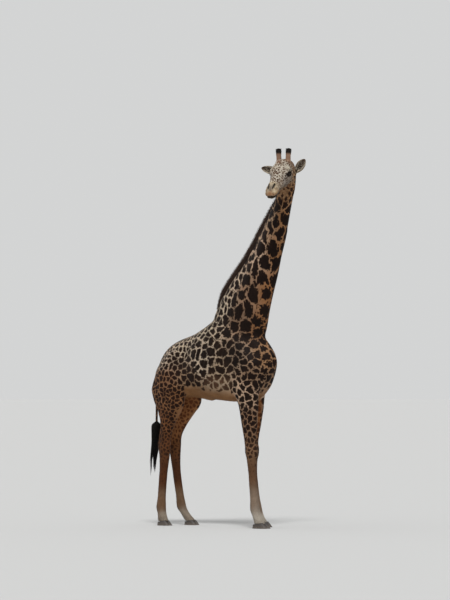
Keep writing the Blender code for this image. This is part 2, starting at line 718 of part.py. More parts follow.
def build():
    for obj in list(bpy.data.objects):
        bpy.data.objects.remove(obj)
    parts = make_flesh()
    end_legs(parts)
    finish = {name: "coat" for name in parts}
    extras = {}
    for side in ("right", "left"):
        extras["eye_" + side] = ("eye", make_eye(side))
        extras["ossicone_" + side] = ("coat", make_ossicone(side))
        extras["ear_" + side] = ("coat", make_ear(side))
    extras["mane"] = ("dark hair", make_mane())
    extras["tail"] = ("coat", tube("tail", TAIL))
    extras["tail_tuft"] = ("dark hair", tube("tail_tuft", TUFT))
    rooted = {"head": ["mane", "eye_right", "eye_left", "ossicone_right", "ossicone_left",
                       "ear_right", "ear_left"],
              "neck": ["mane"], "trunk": ["mane", "tail"]}
    for flesh, roots in rooted.items():
        cut_by(parts[flesh], *(extras[root][1] for root in roots))
    cut_by(extras["tail_tuft"][1], extras["tail"][1])
    for name, (look, obj) in extras.items():
        parts[name], finish[name] = obj, look
    for leg in LEG_LINES:
        for inner in (True, False):
            claw = make_claw(leg, inner)
            parts[claw.name], finish[claw.name] = claw, "horn"
    looks = {name: material(name) for name in COLOURS}
    home = bpy.data.collections.new("giraffe")
    bpy.context.scene.collection.children.link(home)
    for name, obj in parts.items():
        obj.name = obj.data.name = name
        obj.data.materials.clear()
        obj.data.materials.append(looks[finish[name]])
        for where in list(obj.users_collection):
            where.objects.unlink(obj)
        home.objects.link(obj)
    centre_on_origin(list(parts.values()))


build()
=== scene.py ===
"""The looks of a standing bull giraffe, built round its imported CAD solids.

One skin takes the place of the head, neck, trunk, leg and tail solids.  It is fused from
the same cross-sections as they are, drawn in by the depth of the coat, and modelled with
muscles, folds and eyelids.  Over it lie short flat tufts of hair, a mane, a tail tassel,
ear and horn hair and lashes.  Skin and hair read their markings from the same seeds,
which are scattered over the skin, so every blotch runs through both.

Metres, +Z up.  The body frame used here has X = 0 at the elbows; `HOME` moves it into
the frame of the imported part.
"""

import math
from contextlib import contextmanager

import bmesh
import bpy
import numpy as np
from mathutils import Matrix, Vector
from mathutils.kdtree import KDTree


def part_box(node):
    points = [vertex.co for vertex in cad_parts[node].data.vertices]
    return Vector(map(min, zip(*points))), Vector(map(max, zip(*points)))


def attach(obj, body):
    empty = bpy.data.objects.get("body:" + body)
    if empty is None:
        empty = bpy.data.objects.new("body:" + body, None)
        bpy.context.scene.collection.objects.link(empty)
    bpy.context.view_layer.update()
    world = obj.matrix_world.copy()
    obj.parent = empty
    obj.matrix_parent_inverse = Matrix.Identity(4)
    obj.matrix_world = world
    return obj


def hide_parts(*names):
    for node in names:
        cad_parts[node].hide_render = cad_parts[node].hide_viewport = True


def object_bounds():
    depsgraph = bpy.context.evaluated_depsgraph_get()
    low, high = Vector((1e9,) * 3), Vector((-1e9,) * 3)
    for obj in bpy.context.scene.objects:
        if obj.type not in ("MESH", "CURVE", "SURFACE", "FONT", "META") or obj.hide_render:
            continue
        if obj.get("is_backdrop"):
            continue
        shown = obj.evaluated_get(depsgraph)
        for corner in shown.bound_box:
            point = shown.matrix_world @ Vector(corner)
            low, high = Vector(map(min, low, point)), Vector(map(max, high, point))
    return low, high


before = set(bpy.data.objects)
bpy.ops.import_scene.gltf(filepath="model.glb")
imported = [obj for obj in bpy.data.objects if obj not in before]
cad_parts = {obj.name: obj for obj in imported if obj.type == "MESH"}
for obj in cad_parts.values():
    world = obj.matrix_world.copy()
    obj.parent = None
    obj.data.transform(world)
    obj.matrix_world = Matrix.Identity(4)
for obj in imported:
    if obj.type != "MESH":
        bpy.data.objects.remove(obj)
bounds_at_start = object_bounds()

# ---- The animal's stations, as the solids have them ---------------------------------

# Trunk: x, top, bottom, half width, height of the widest level.
TRUNK = {
    "buttock": (-1.662, 2.07, 1.85, 0.070, 1.98),
    "tail root": (-1.600, 2.260, 1.81, 0.135, 2.02),
    "dock": (-1.530, 2.405, 1.80, 0.180, 2.06),
    "croup": (-1.420, 2.525, 1.80, 0.225, 2.10),
    "hip": (-1.250, 2.615, 1.80, 0.275, 2.14),
    "loin": (-0.980, 2.705, 1.815, 0.305, 2.16),
    "last rib": (-0.780, 2.81, 1.79, 0.350, 2.15),
    "barrel": (-0.560, 2.925, 1.765, 0.360, 2.14),
    "girth": (-0.300, 2.93, 1.745, 0.320, 2.13),
    "shoulder": (-0.050, 2.82, 1.745, 0.265, 2.16),
    "breast": (0.140, 2.66, 1.83, 0.220, 2.22),
    "point of breast": (0.270, 2.50, 2.02, 0.155, 2.30),
    "breastbone": (0.335, 2.40, 2.20, 0.070, 2.31),
}

# Neck: x, y, z of its axis, half depth, half width, twist in degrees.
NECK = {
    "between the shoulders": (-0.320, 0.000, 2.560, 0.430, 0.205, 0),
    "root": (-0.225, 0.000, 2.860, 0.435, 0.200, 0),
    "lower third": (-0.090, 0.000, 3.175, 0.378, 0.180, 0),
    "below the middle": (0.115, 0.000, 3.570, 0.284, 0.155, 0),
    "middle": (0.255, -0.005, 3.890, 0.226, 0.137, 4),
    "upper third": (0.392, -0.015, 4.210, 0.194, 0.126, 14),
    "below the throat": (0.515, -0.030, 4.530, 0.166, 0.118, 34),
    "throat": (0.590, -0.048, 4.740, 0.150, 0.114, 56),
    "nape": (0.622, -0.066, 4.930, 0.128, 0.110, 80),
}

# Head, in its own frame: ahead of the nape, top, bottom, half width, widest level.
HEAD = {
    "back of the skull": (-0.105, 0.030, -0.120, 0.050, -0.04),
    "poll": (-0.055, 0.115, -0.140, 0.084, -0.01),
    "crown": (0.000, 0.150, -0.140, 0.102, 0.00),
    "jaw angle": (0.080, 0.186, -0.190, 0.116, 0.00),
    "horn base": (0.150, 0.198, -0.190, 0.124, 0.03),
    "eye": (0.225, 0.186, -0.168, 0.143, 0.05),
    "below the eye": (0.300, 0.150, -0.148, 0.136, 0.03),
    "cheek": (0.380, 0.105, -0.136, 0.114, 0.00),
    "nose bridge": (0.460, 0.072, -0.130, 0.094, -0.02),
    "above the lips": (0.540, 0.046, -0.137, 0.084, -0.04),
    "nostril": (0.605, 0.020, -0.152, 0.083, -0.06),
    "lips": (0.665, -0.016, -0.156, 0.080, -0.075),
    "muzzle tip": (0.705, -0.046, -0.136, 0.058, -0.090),
}
HEAD_JOINT = (0.622, -0.072, 4.960)
HEAD_HEADING = -81.0            # degrees from straight ahead, towards the left
HEAD_PITCH = -26.0              # degrees above level

# Legs: height, front edge, back edge, half width, about each leg's own line.
FORELEG = {
    "top of the shoulder blade": (2.76, -0.24, -0.50, 0.050),
    "shoulder blade": (2.58, -0.06, -0.47, 0.095),
    "below the shoulder blade": (2.42, 0.11, -0.43, 0.118),
    "point of the shoulder": (2.27, 0.23, -0.36, 0.125),
    "upper arm": (2.06, 0.21, -0.28, 0.118),
    "elbow": (1.84, 0.185, -0.205, 0.100),
    "below the elbow": (1.68, 0.168, -0.150, 0.086),
    "forearm": (1.45, 0.132, -0.125, 0.076),
    "above the knee": (1.20, 0.092, -0.098, 0.064),
    "knee": (1.05, 0.092, -0.087, 0.078),
    "below the knee": (0.94, 0.071, -0.073, 0.065),
    "cannon": (0.70, 0.053, -0.061, 0.051),
    "lower cannon": (0.42, 0.054, -0.063, 0.051),
    "fetlock": (0.27, 0.063, -0.075, 0.062),
    "pastern": (0.17, 0.065, -0.066, 0.062),
    "coronet": (0.06, 0.088, -0.076, 0.072),
}
HINDLEG = {
    "hip point": (2.44, 0.24, 0.03, 0.070),
    "rump": (2.30, 0.29, -0.09, 0.112),
    "upper thigh": (2.13, 0.34, -0.165, 0.133),
    "thigh": (1.94, 0.37, -0.205, 0.132),
    "stifle": (1.76, 0.355, -0.160, 0.115),
    "below the stifle": (1.60, 0.285, -0.090, 0.094),
    "gaskin": (1.42, 0.170, -0.070, 0.074),
    "above the hock": (1.25, 0.100, -0.100, 0.063),
    "hock": (1.12, 0.089, -0.112, 0.071),
    "below the hock": (0.98, 0.078, -0.084, 0.064),
    "cannon": (0.72, 0.061, -0.065, 0.054),
    "lower cannon": (0.42, 0.060, -0.063, 0.054),
    "fetlock": (0.27, 0.065, -0.077, 0.063),
    "pastern": (0.17, 0.065, -0.066, 0.062),
    "coronet": (0.06, 0.083, -0.073, 0.069),
}
LEG_TABLES = {"foreleg": FORELEG, "hindleg": HINDLEG}
# Each leg's line: x and y of its middle at heights down to the hoof.
LEG_LINES = {
    "foreleg_right": {2.4: (-0.02, -0.190), 1.8: (0.02, -0.190), 1.05: (0.065, -0.165),
                      0.27: (0.140, -0.175), 0.06: (0.215, -0.180)},
    "foreleg_left": {2.4: (-0.02, 0.190), 1.8: (-0.14, 0.190), 1.05: (-0.138, 0.165),
                     0.27: (-0.060, 0.170), 0.06: (0.005, 0.175)},
    "hindleg_right": {2.4: (-1.36, -0.175), 1.8: (-1.405, -0.195), 1.12: (-1.420, -0.150),
                      0.27: (-1.468, -0.170), 0.06: (-1.440, -0.175)},
    "hindleg_left": {2.4: (-1.36, 0.175), 1.8: (-1.405, 0.195), 1.12: (-1.460, 0.150),
                     0.27: (-1.362, 0.170), 0.06: (-1.222, 0.175)},
}
# The tail's stalk and the core of its tuft: x, height, radius.
TAIL = {
    "root": (-1.500, 2.300, 0.056),
    "over the rump": (-1.630, 2.200, 0.044),
    "upper stalk": (-1.690, 2.000, 0.033),
    "lower stalk": (-1.676, 1.700, 0.026),
    "tip": (-1.680, 1.440, 0.024),
}
TUFT = {
    "top": (-1.681, 1.470, 0.030),
    "shoulder": (-1.688, 1.380, 0.055),
    "middle": (-1.705, 1.150, 0.062),
    "thinning": (-1.735, 0.900, 0.048),
    "end": (-1.765, 0.660, 0.014),
}
# Hooves: length, width, height in front and at the heel.
HOOVES = {"foreleg": (0.235, 0.170, 0.088, 0.048), "hindleg": (0.195, 0.152, 0.080, 0.044)}
HOOF_AHEAD = 0.034              # how far a hoof's middle is ahead of its leg's line
CLEFT = 0.010                   # gap between the two claws of a hoof

# Eyes, horns and ears, in the head's frame (ahead, up, left): places are the left side's.
EYE = (0.266, 0.039, 0.1150)
EYE_RADIUS = 0.0310
EYE_LOOKS = (0.30, -0.05, 0.95)
OSSICONE_FOOT = (0.142, 0.070, 0.062)
OSSICONE_LEAN = (-0.45, 0.89, 0.055)
OSSICONE_LENGTH = 0.278
OSSICONE_RADII = (0.030, 0.036, 0.041, 0.0385, 0.0350, 0.0340, 0.0360, 0.0385, 0.0375)
EAR_ROOT = (0.035, -0.034, 0.118)
EAR_LENGTH = 0.300
EAR_WIDTH = 0.124
EAR_WALL = 0.009
EAR_DIRECTIONS = {"right": (0.34, 0.44, -0.86), "left": (0.04, 0.71, 0.70)}

MANE_HEIGHT = 0.088
MANE_HALF_THICKNESS = 0.017
MANE_FROM, MANE_TO = 0.135, 0.985  # shares of the neck's length

SKIN_GRID = 0.016               # grid on which the lofts are fused, as in the solids
HEAD_GRID = 0.009
COAT_DEPTH = 0.006              # the skin lies this far inside the solids
FACE_DEPTH = 0.003              # on the face and low on the legs
FACE_DETAIL, LID_DETAIL = 0.070, 0.046  # within these of an eye, faces are divided again
SMOOTHING = (0.5, -0.51)        # shares by which the skin is drawn in and let out again

# How many tufts, blades, strands and hairs each growth has.
COAT_TUFTS, HEAD_TUFTS = 205000, 42000
MANE_BLADES = 11000
MANE_ROOT = 0.012               # how deep the mane is rooted
TAIL_STRANDS, TAIL_LOCKS = 1500, 19
EAR_HAIRS, KNOB_HAIRS, LASHES = 1300, 700, 150

# Tufts: length, half width and lift of the tip on the body, and what is added to them
# in other places.
TUFT_SIZES = {
    "body": (0.0160, 0.00120, 0.0013),
    "face": (-0.0070, -0.00065, -0.0007),
    "muzzle": (-0.0035, -0.00010, -0.0003),
    "low on the legs": (-0.0050, -0.00030, 0),
    "break lines, off the muzzle": (0.0080, 0, 0),
    "break lines, off the face": (0, 0, 0.0034),
}
TUFT_THICKNESS = 0.35           # height of a tuft's ridge, as a share of its half width
TUFT_PATCH = 0.003              # width of a tuft's patch on the coat's unwrap
HEAD_REGIONS = ("head", "face")

# Wander of the blotches' edges: noise scale per metre, reach as a share of the spacing.
EDGE_WANDER = ((7.0, 0.42), (21.0, 0.20), (62.0, 0.065), (170.0, 0.022))
SEEDS_READ = 4                  # how many nearest blotches the finish compares
HAIR_COLOURS = {                # at the root and at the tip
    "mane hair": ((44, 30, 22), (58, 38, 27)),
    "tail hair": ((26, 21, 18), (16, 14, 14)),
    "ear hair": ((168, 152, 130), (224, 214, 196)),
}

CAMERA_AZIMUTH = 35.0
CAMERA_DISTANCE = 45.0
CAMERA_HEIGHT = 2.05
CAMERA_LENS, CAMERA_SENSOR = 193.05, 36
CAMERA_SIGHT = 500              # farthest that the camera sees
CAMERA_TILT = 1.424             # degrees above level
AIM_X = -0.40                   # body-frame x of the point that the camera is set by
AIM_ASIDE = 0.078               # how far that point lies right of the view's middle
SKY_COLOUR, SKY_STRENGTH = (0.990, 0.999, 0.998, 1), 0.66
# Lamps: strength, spread of the light in degrees, the way that it shines.
LAMPS = {"key": (2.3, 16, (-0.35, 0.50, -0.90)), "fill": (0.5, 60, (0.8, 0.2, -0.5))}
FLOOR_RADII = (0.01, 4.0, 20.0, 80.0, 300.0)
FLOOR_DROP = 0.0005             # the floor lies this far under the soles

SIDES = {"right": -1, "left": 1}
rng = np.random.default_rng(7)


# ---- Curves and frames --------------------------------------------------------------


def through(known, values, at):
    """Values at the places `at` on a smooth curve through (known, values) that never
    overshoots: a cubic whose slope at each station is the harmonic mean of its sides."""
    known, values = np.asarray(known, float), np.asarray(values, float)
    if values.ndim == 1:
        return through(known, values[:, None], at)[:, 0]
    slope = np.diff(values, axis=0) / np.diff(known)[:, None]
    same_way = slope[:-1] * slope[1:] > 0
    harmonic = 2 * slope[:-1] * slope[1:] / np.where(same_way, slope[:-1] + slope[1:], 1)
    tangent = np.vstack([slope[:1], np.where(same_way, harmonic, 0), slope[-1:]])
    i = np.clip(np.searchsorted(known, at, side="right") - 1, 0, len(known) - 2)
    h = np.diff(known)[i][:, None]
    t = (np.asarray(at)[:, None] - known[i][:, None]) / h
    return ((2 * t**3 - 3 * t**2 + 1) * values[i] + (t**3 - 2 * t**2 + t) * h * tangent[i]
            + (3 * t**2 - 2 * t**3) * values[i + 1] + (t**3 - t**2) * h * tangent[i + 1])


def ease(low, high, x):
    """Rises smoothly from 0 at `low` to 1 at `high` (or falls, when high < low)."""
    t = np.clip((x - low) / (high - low), 0, 1)
    return t * t * (3 - 2 * t)


def blend(a, b, share):
    """From a at a share of 0 to b at 1."""
    return a * (1 - share) + b * share


def unit(v):
    return v / np.maximum(np.linalg.norm(v, axis=-1, keepdims=True), 1e-9)


def columns(*parts):
    """Points (..., n) from their n coordinates, broadcast to one shape."""
    return np.stack(np.broadcast_arrays(*parts), axis=-1)


def square_to(axis, v):
    """Unit directions of what is square to the axis in v."""
    return unit(v - (v * axis).sum(-1, keepdims=True) * axis)


def rounded(angles, power):
    """Cosine and sine of the angles on a superellipse of that power."""
    return (np.sign(v) * np.abs(v) ** (2 / power) for v in (np.cos(angles), np.sin(angles)))


def turn_angles(count):
    return np.linspace(0, 2 * math.pi, count, endpoint=False)


def head_axes():
    """Rows: the head's ahead, up and left directions in the body frame."""
    heading, pitch = math.radians(HEAD_HEADING), math.radians(HEAD_PITCH)
    ahead = Vector((math.cos(heading) * math.cos(pitch),
                    math.sin(heading) * math.cos(pitch), math.sin(pitch)))
    left = Vector((-math.sin(heading), math.cos(heading), 0))
    return np.array([ahead, ahead.cross(left), left])


HEAD_AXES = head_axes()


def from_head(local):
    """Points (..., 3) of the head's frame (ahead, up, left) in the body frame."""
    return np.asarray(local, float) @ HEAD_AXES + HEAD_JOINT


def to_head(points):
    """Points of the body frame in the head's frame."""
    return (points - HEAD_JOINT) @ HEAD_AXES.T


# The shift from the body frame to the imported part's: where the left eye has gone.
HOME = np.mean(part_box("eye_left"), axis=0) - from_head(EYE)


# ---- Meshes from arrays -------------------------------------------------------------


def mesh_object(name, points, faces, finish=None):
    """An object from points (n, 3) in the body frame and faces (m, 3 or 4), moved to the
    part's frame."""
    mesh = bpy.data.meshes.new(name)
    count, corners = faces.shape
    mesh.vertices.add(len(points))
    mesh.loops.add(count * corners)
    mesh.loops.foreach_set("vertex_index", faces.astype(np.int32).ravel())
    mesh.polygons.add(count)
    mesh.polygons.foreach_set("loop_start", np.arange(count, dtype=np.int32) * corners)
    set_coordinates(mesh, points)
    mesh.update(calc_edges=True)
    mesh.shade_smooth()
    if finish:
        mesh.materials.append(finish)
    return placed(name, mesh)


def placed(name, data):
    obj = bpy.data.objects.new(name, data)
    bpy.context.scene.collection.objects.link(obj)
    return obj


@contextmanager
def edited(mesh):
    """The mesh opened for editing, and written back at the end."""
    made = bmesh.new()
    made.from_mesh(mesh)
    yield made
    made.to_mesh(mesh)
    made.free()


def grid_faces(rows, around):
    """Quads between neighbouring rows of `around` points, the last joined to the first."""
    i, j = np.meshgrid(np.arange(rows - 1) * around, np.arange(around), indexing="ij")
    k = (j + 1) % around
    return np.stack([i + j, i + k, i + around + k, i + around + j], axis=2).reshape(-1, 4)


def tube_object(name, rings, finish=None):
    """A tube through rings (rows, around, 3).  Each end is drawn in to a ring shrunk to
    its middle, which is filled, and all faces are turned outwards."""
    first, last = (blend(ring.mean(0), ring, 0.02) for ring in (rings[0], rings[-1]))
    full = np.concatenate([first[None], rings, last[None]])
    obj = mesh_object(name, full.reshape(-1, 3), grid_faces(*full.shape[:2]), finish)
    with edited(obj.data) as made:
        bmesh.ops.holes_fill(made, edges=[e for e in made.edges if e.is_boundary])
        bmesh.ops.recalc_face_normals(made, faces=made.faces)
    obj.data.shade_smooth()
    return obj


def read(items, key, width, kind=np.float32):
    """A property of all the items as an array, with rows of the given width."""
    values = np.empty(len(items) * width, kind)
    items.foreach_get(key, values)
    return values.reshape(-1, width)


def coordinates(mesh):
    return read(mesh.vertices, "co", 3).astype(float) - HOME


def face_middles(mesh):
    return read(mesh.polygons, "center", 3) - HOME


def set_coordinates(mesh, co):
    mesh.vertices.foreach_set("co", (co + HOME).astype(np.float32).ravel())
    mesh.update()


def vertex_normals(mesh):
    return read(mesh.vertex_normals, "vector", 3).astype(float)


def triangles(mesh):
    """Corner vertices of each of the mesh's triangles."""
    mesh.calc_loop_triangles()
    return read(mesh.loop_triangles, "vertices", 3, np.int32)


def apply_modifiers(obj):
    graph = bpy.context.evaluated_depsgraph_get()
    obj.data = bpy.data.meshes.new_from_object(obj.evaluated_get(graph), depsgraph=graph)
    obj.modifiers.clear()


def add_attribute(mesh, name, values, domain="POINT"):
    values = np.asarray(values, np.float32)
    kind, key = (("FLOAT", "value") if values.ndim == 1 else ("FLOAT_VECTOR", "vector"))
    mesh.attributes.new(name, kind, domain).data.foreach_set(key, values.ravel())


# ---- Lofts of the flesh -------------------------------------------------------------


def egg_rings(table, count, around, power):
    """Rings (count, around, 3) of places along, sideways and up, for a table of place,
    top, bottom, half width and widest level: superellipses, each half its own height."""
    rows = np.array(sorted(table.values()))
    at = np.linspace(rows[0, 0], rows[-1, 0], count)
    top, bottom, half, level = through(rows[:, 0], rows[:, 1:], at).T[:, :, None]
    side, rise = rounded(turn_angles(around), power)
    up = level + np.where(rise > 0, (top - level) * rise, (level - bottom) * rise)
    return columns(at[:, None], half * side, up)


def neck_line(at):
    """Axis point, nape direction, left direction, half depth and half width of the neck
    at shares `at` of its length.  The nape direction turns with the twist."""
    rows = np.array(list(NECK.values()))
    steps = np.linalg.norm(np.diff(rows[:, :3], axis=0), axis=1)
    share = np.concatenate([[0], np.cumsum(steps)]) / steps.sum()
    before, axis, after = (through(share, rows[:, :3], np.clip(at + nearby, 0, 1))
                           for nearby in (-0.02, 0, 0.02))
    ahead = unit(after - before)
    depth, width, twist = through(share, rows[:, 3:], at).T
    turn = np.radians(twist)
    nape = square_to(ahead, columns(-np.cos(turn), np.sin(turn), 0))
    return axis, nape, -np.cross(ahead, nape), depth[:, None], width[:, None]


def neck_rings():
    """Superellipses across the neck's line, slimmer towards the nape."""
    axis, nape, left, depth, width = neck_line(np.linspace(0, 1, 60))
    side, rise = rounded(turn_angles(36), 2.1)
    slim = np.where(rise > 0, 1 - 0.22 * rise**2, 1.0)
    return (axis[:, None] + nape[:, None] * (depth * rise)[:, :, None]
            + left[:, None] * (width * side * slim)[:, :, None])


def head_rings():
    """The head's sections, turned and set on its joint."""
    return from_head(egg_rings(HEAD, count=44, around=32, power=2.3)[..., [0, 2, 1]])


def leg_line(leg, heights):
    """x and y of the leg's middle at the heights."""
    rows = sorted(LEG_LINES[leg].items())
    clipped = np.clip(heights, rows[0][0], rows[-1][0])
    return through([z for z, _ in rows], [xy for _, xy in rows], clipped)


def leg_rings(leg):
    """Superellipses between the front and back edges, about the leg's line."""
    rows = np.array(sorted(LEG_TABLES[leg.split("_")[0]].values()))
    z = np.linspace(rows[0, 0], rows[-1, 0], 90)
    front, back, half = through(rows[:, 0], rows[:, 1:], z).T[:, :, None]
    x, y = leg_line(leg, z).T[:, :, None]
    ahead, aside = rounded(turn_angles(28), 2.2)
    return columns(x + (front + back) / 2 + (front - back) / 2 * ahead, y + half * aside,
                   z[:, None])


def stalk_line(table, at):
    """x, z, radius and the unit direction across it of a tube in the body's middle."""
    rows = np.array(list(table.values()))
    x, z, radius = through(np.linspace(0, 1, len(rows)), rows, at).T
    return x, z, radius, unit(columns(np.gradient(z), -np.gradient(x)))


def stalk_rings(table, count, around):
    """Circles square to the stalk's line."""
    x, z, radius, across = stalk_line(table, np.linspace(0, 1, count))
    radius, angles = radius[:, None], turn_angles(around)
    out = radius * np.cos(angles)
    return columns(x[:, None] + across[:, :1] * out, radius * np.sin(angles),
                   z[:, None] + across[:, 1:] * out)


# ---- The skin's form ----------------------------------------------------------------


def fused(name, tubes, grid):
    """One closed mesh round all the tubes, by a voxel remesh."""
    obj = placed(name, bpy.data.meshes.new(name))
    with edited(obj.data) as gathered:
        for rings in tubes:
            part = tube_object("loft", rings)
            gathered.from_mesh(part.data)
            bpy.data.objects.remove(part)
    remesh = obj.modifiers.new("fuse", "REMESH")
    remesh.mode, remesh.voxel_size = "VOXEL", grid
    apply_modifiers(obj)
    settle(obj, smoothing=4, filling=22)
    return obj


def neighbour_mean(mesh):
    """A function that works out neighbours' means on this mesh."""
    a, b = read(mesh.edges, "vertices", 2, np.int32).T
    total = len(mesh.vertices)
    degree = np.bincount(a, minlength=total) + np.bincount(b, minlength=total)

    def mean(values):
        """The mean of each vertex's neighbours in (n, 3) values."""
        return columns(*(np.bincount(a, column[b], total) + np.bincount(b, column[a], total)
                         for column in values.T)) / degree[:, None]

    return mean


def surface_normals(corners, co):
    """Vertex normals: the sum of the area vectors of the triangles round each."""
    p, q, r = (co[corners[:, k]] for k in range(3))
    face = np.cross(q - p, r - p)
    return unit(columns(*(sum(np.bincount(corners[:, c], along, len(co)) for c in range(3))
                          for along in face.T)))


def settle(obj, smoothing, filling):
    """Smooths the fused surface a little without shrinking it, then fills its creases:
    each step moves a vertex outwards wherever its neighbours' mean lies outside it."""
    mean = neighbour_mean(obj.data)
    corners, co = triangles(obj.data), coordinates(obj.data)
    for step in range(smoothing):
        co += SMOOTHING[step % 2] * (mean(co) - co)
    for _ in range(filling):
        pull = mean(co) - co
        normal = surface_normals(corners, co)
        outwards = (pull * normal).sum(1)[:, None]
        co += 0.9 * np.maximum(outwards, 0) * normal + 0.15 * (pull - outwards * normal)
    set_coordinates(obj.data, co)


def split_faces(obj, wanted):
    """Divides in two each edge of the faces for which `wanted(face middles)` holds."""
    chosen = np.nonzero(wanted(face_middles(obj.data)))[0]
    with edited(obj.data) as made:
        made.faces.ensure_lookup_table()
        edges = {edge for face in chosen for edge in made.faces[face].edges}
        bmesh.ops.subdivide_edges(made, edges=list(edges), cuts=1, use_grid_fill=True)


def on_head(points):
    """1 on the head, falling to 0 down the throat."""
    ahead, up, _ = to_head(points).T
    return ease(-0.36, -0.22, up + 0.55 * ahead - 0.06)


def eye_distance(local):
    return np.hypot(local[:, 0] - EYE[0], local[:, 1] - EYE[1])


def near_eye(points, reach):
    """True within that reach of either eye, as seen from the side."""
    local = to_head(points)
    return (eye_distance(local) < reach) & (np.abs(local[:, 2]) > 0.06)


def face_detail(points):
    """True near the eyes and over the muzzle."""
    muzzle = to_head(points)[:, 0] > 0.54
    return (near_eye(points, FACE_DETAIL) | muzzle) & (on_head(points) > 0.5)


def fitted_to(obj, shape, weights):
    """Lays obj on the surface of another, as far as its vertices' weights say."""
    group = obj.vertex_groups.new(name="fit")
    for level in np.arange(1, 11) / 10:
        chosen = np.nonzero((weights > level - 0.05) & (weights <= level + 0.05))[0]
        group.add(chosen.tolist(), level, "REPLACE")
    wrap = obj.modifiers.new("fit", "SHRINKWRAP")
    wrap.target, wrap.vertex_group = shape, "fit"
    apply_modifiers(obj)
    obj.vertex_groups.clear()


# Relief: from, to, radius across, height.  A ridge or furrow runs along the line from
# one point to the other.  Trunk and neck places are (x, distance from the middle, z).
BODY_RELIEF = {
    "spine of the shoulder blade": ((-0.32, 0.17, 2.74), (-0.02, 0.27, 2.32), 0.045, 0.010),
    "muscle ahead of the spine": ((-0.20, 0.18, 2.74), (0.09, 0.25, 2.36), 0.055, 0.008),
    "furrow behind the shoulder": ((-0.47, 0.33, 2.50), (-0.26, 0.31, 1.98), 0.050, -0.014),
    "point of the shoulder": ((0.12, 0.24, 2.25), (0.14, 0.24, 2.16), 0.075, 0.014),
    "triceps": ((-0.20, 0.30, 2.26), (-0.10, 0.31, 1.98), 0.085, 0.014),
    "breast furrow": ((0.34, 0.0, 2.36), (0.22, 0.0, 1.98), 0.030, -0.018),
    "breast muscle": ((0.28, 0.09, 2.28), (0.18, 0.10, 2.00), 0.065, 0.012),
    "flank hollow": ((-1.02, 0.27, 2.42), (-1.05, 0.26, 2.28), 0.100, -0.022),
    "hip bone": ((-1.14, 0.24, 2.50), (-1.18, 0.25, 2.48), 0.060, 0.020),
    "line of the haunch": ((-1.22, 0.28, 2.40), (-1.34, 0.30, 2.06), 0.070, 0.010),
    "furrow of the haunch": ((-1.48, 0.24, 2.36), (-1.52, 0.29, 1.92), 0.030, -0.010),
    "fold of the flank": ((-1.06, 0.26, 2.06), (-0.92, 0.22, 1.86), 0.060, 0.014),
    "edge of the ribs": ((-0.74, 0.33, 2.34), (-0.50, 0.26, 1.88), 0.040, 0.008),
    "belly tuck": ((-0.98, 0.17, 1.86), (-0.86, 0.20, 1.84), 0.110, -0.020),
    "jugular furrow, low": ((0.14, 0.16, 2.76), (0.28, 0.13, 3.40), 0.045, -0.012),
    "jugular furrow, high": ((0.30, 0.13, 3.45), (0.47, 0.10, 4.20), 0.036, -0.010),
    "windpipe": ((0.33, 0.0, 2.86), (0.52, 0.02, 4.10), 0.045, 0.010),
    "neck muscle": ((-0.18, 0.19, 2.92), (0.28, 0.13, 4.02), 0.075, 0.009),
    "furrow over the neck muscle": ((-0.36, 0.15, 3.02), (0.12, 0.11, 4.02), 0.050, -0.010),
    "withers": ((-0.62, 0.0, 2.93), (-0.40, 0.0, 3.02), 0.060, 0.012),
    "sheath": ((-0.98, 0.0, 1.78), (-0.72, 0.0, 1.76), 0.050, 0.030),
}
RIB_SPACING = 0.062
RIB_HEIGHT = 0.0045
FORELEGS_FROM = -0.70           # points ahead of this x belong to a foreleg, not a hindleg

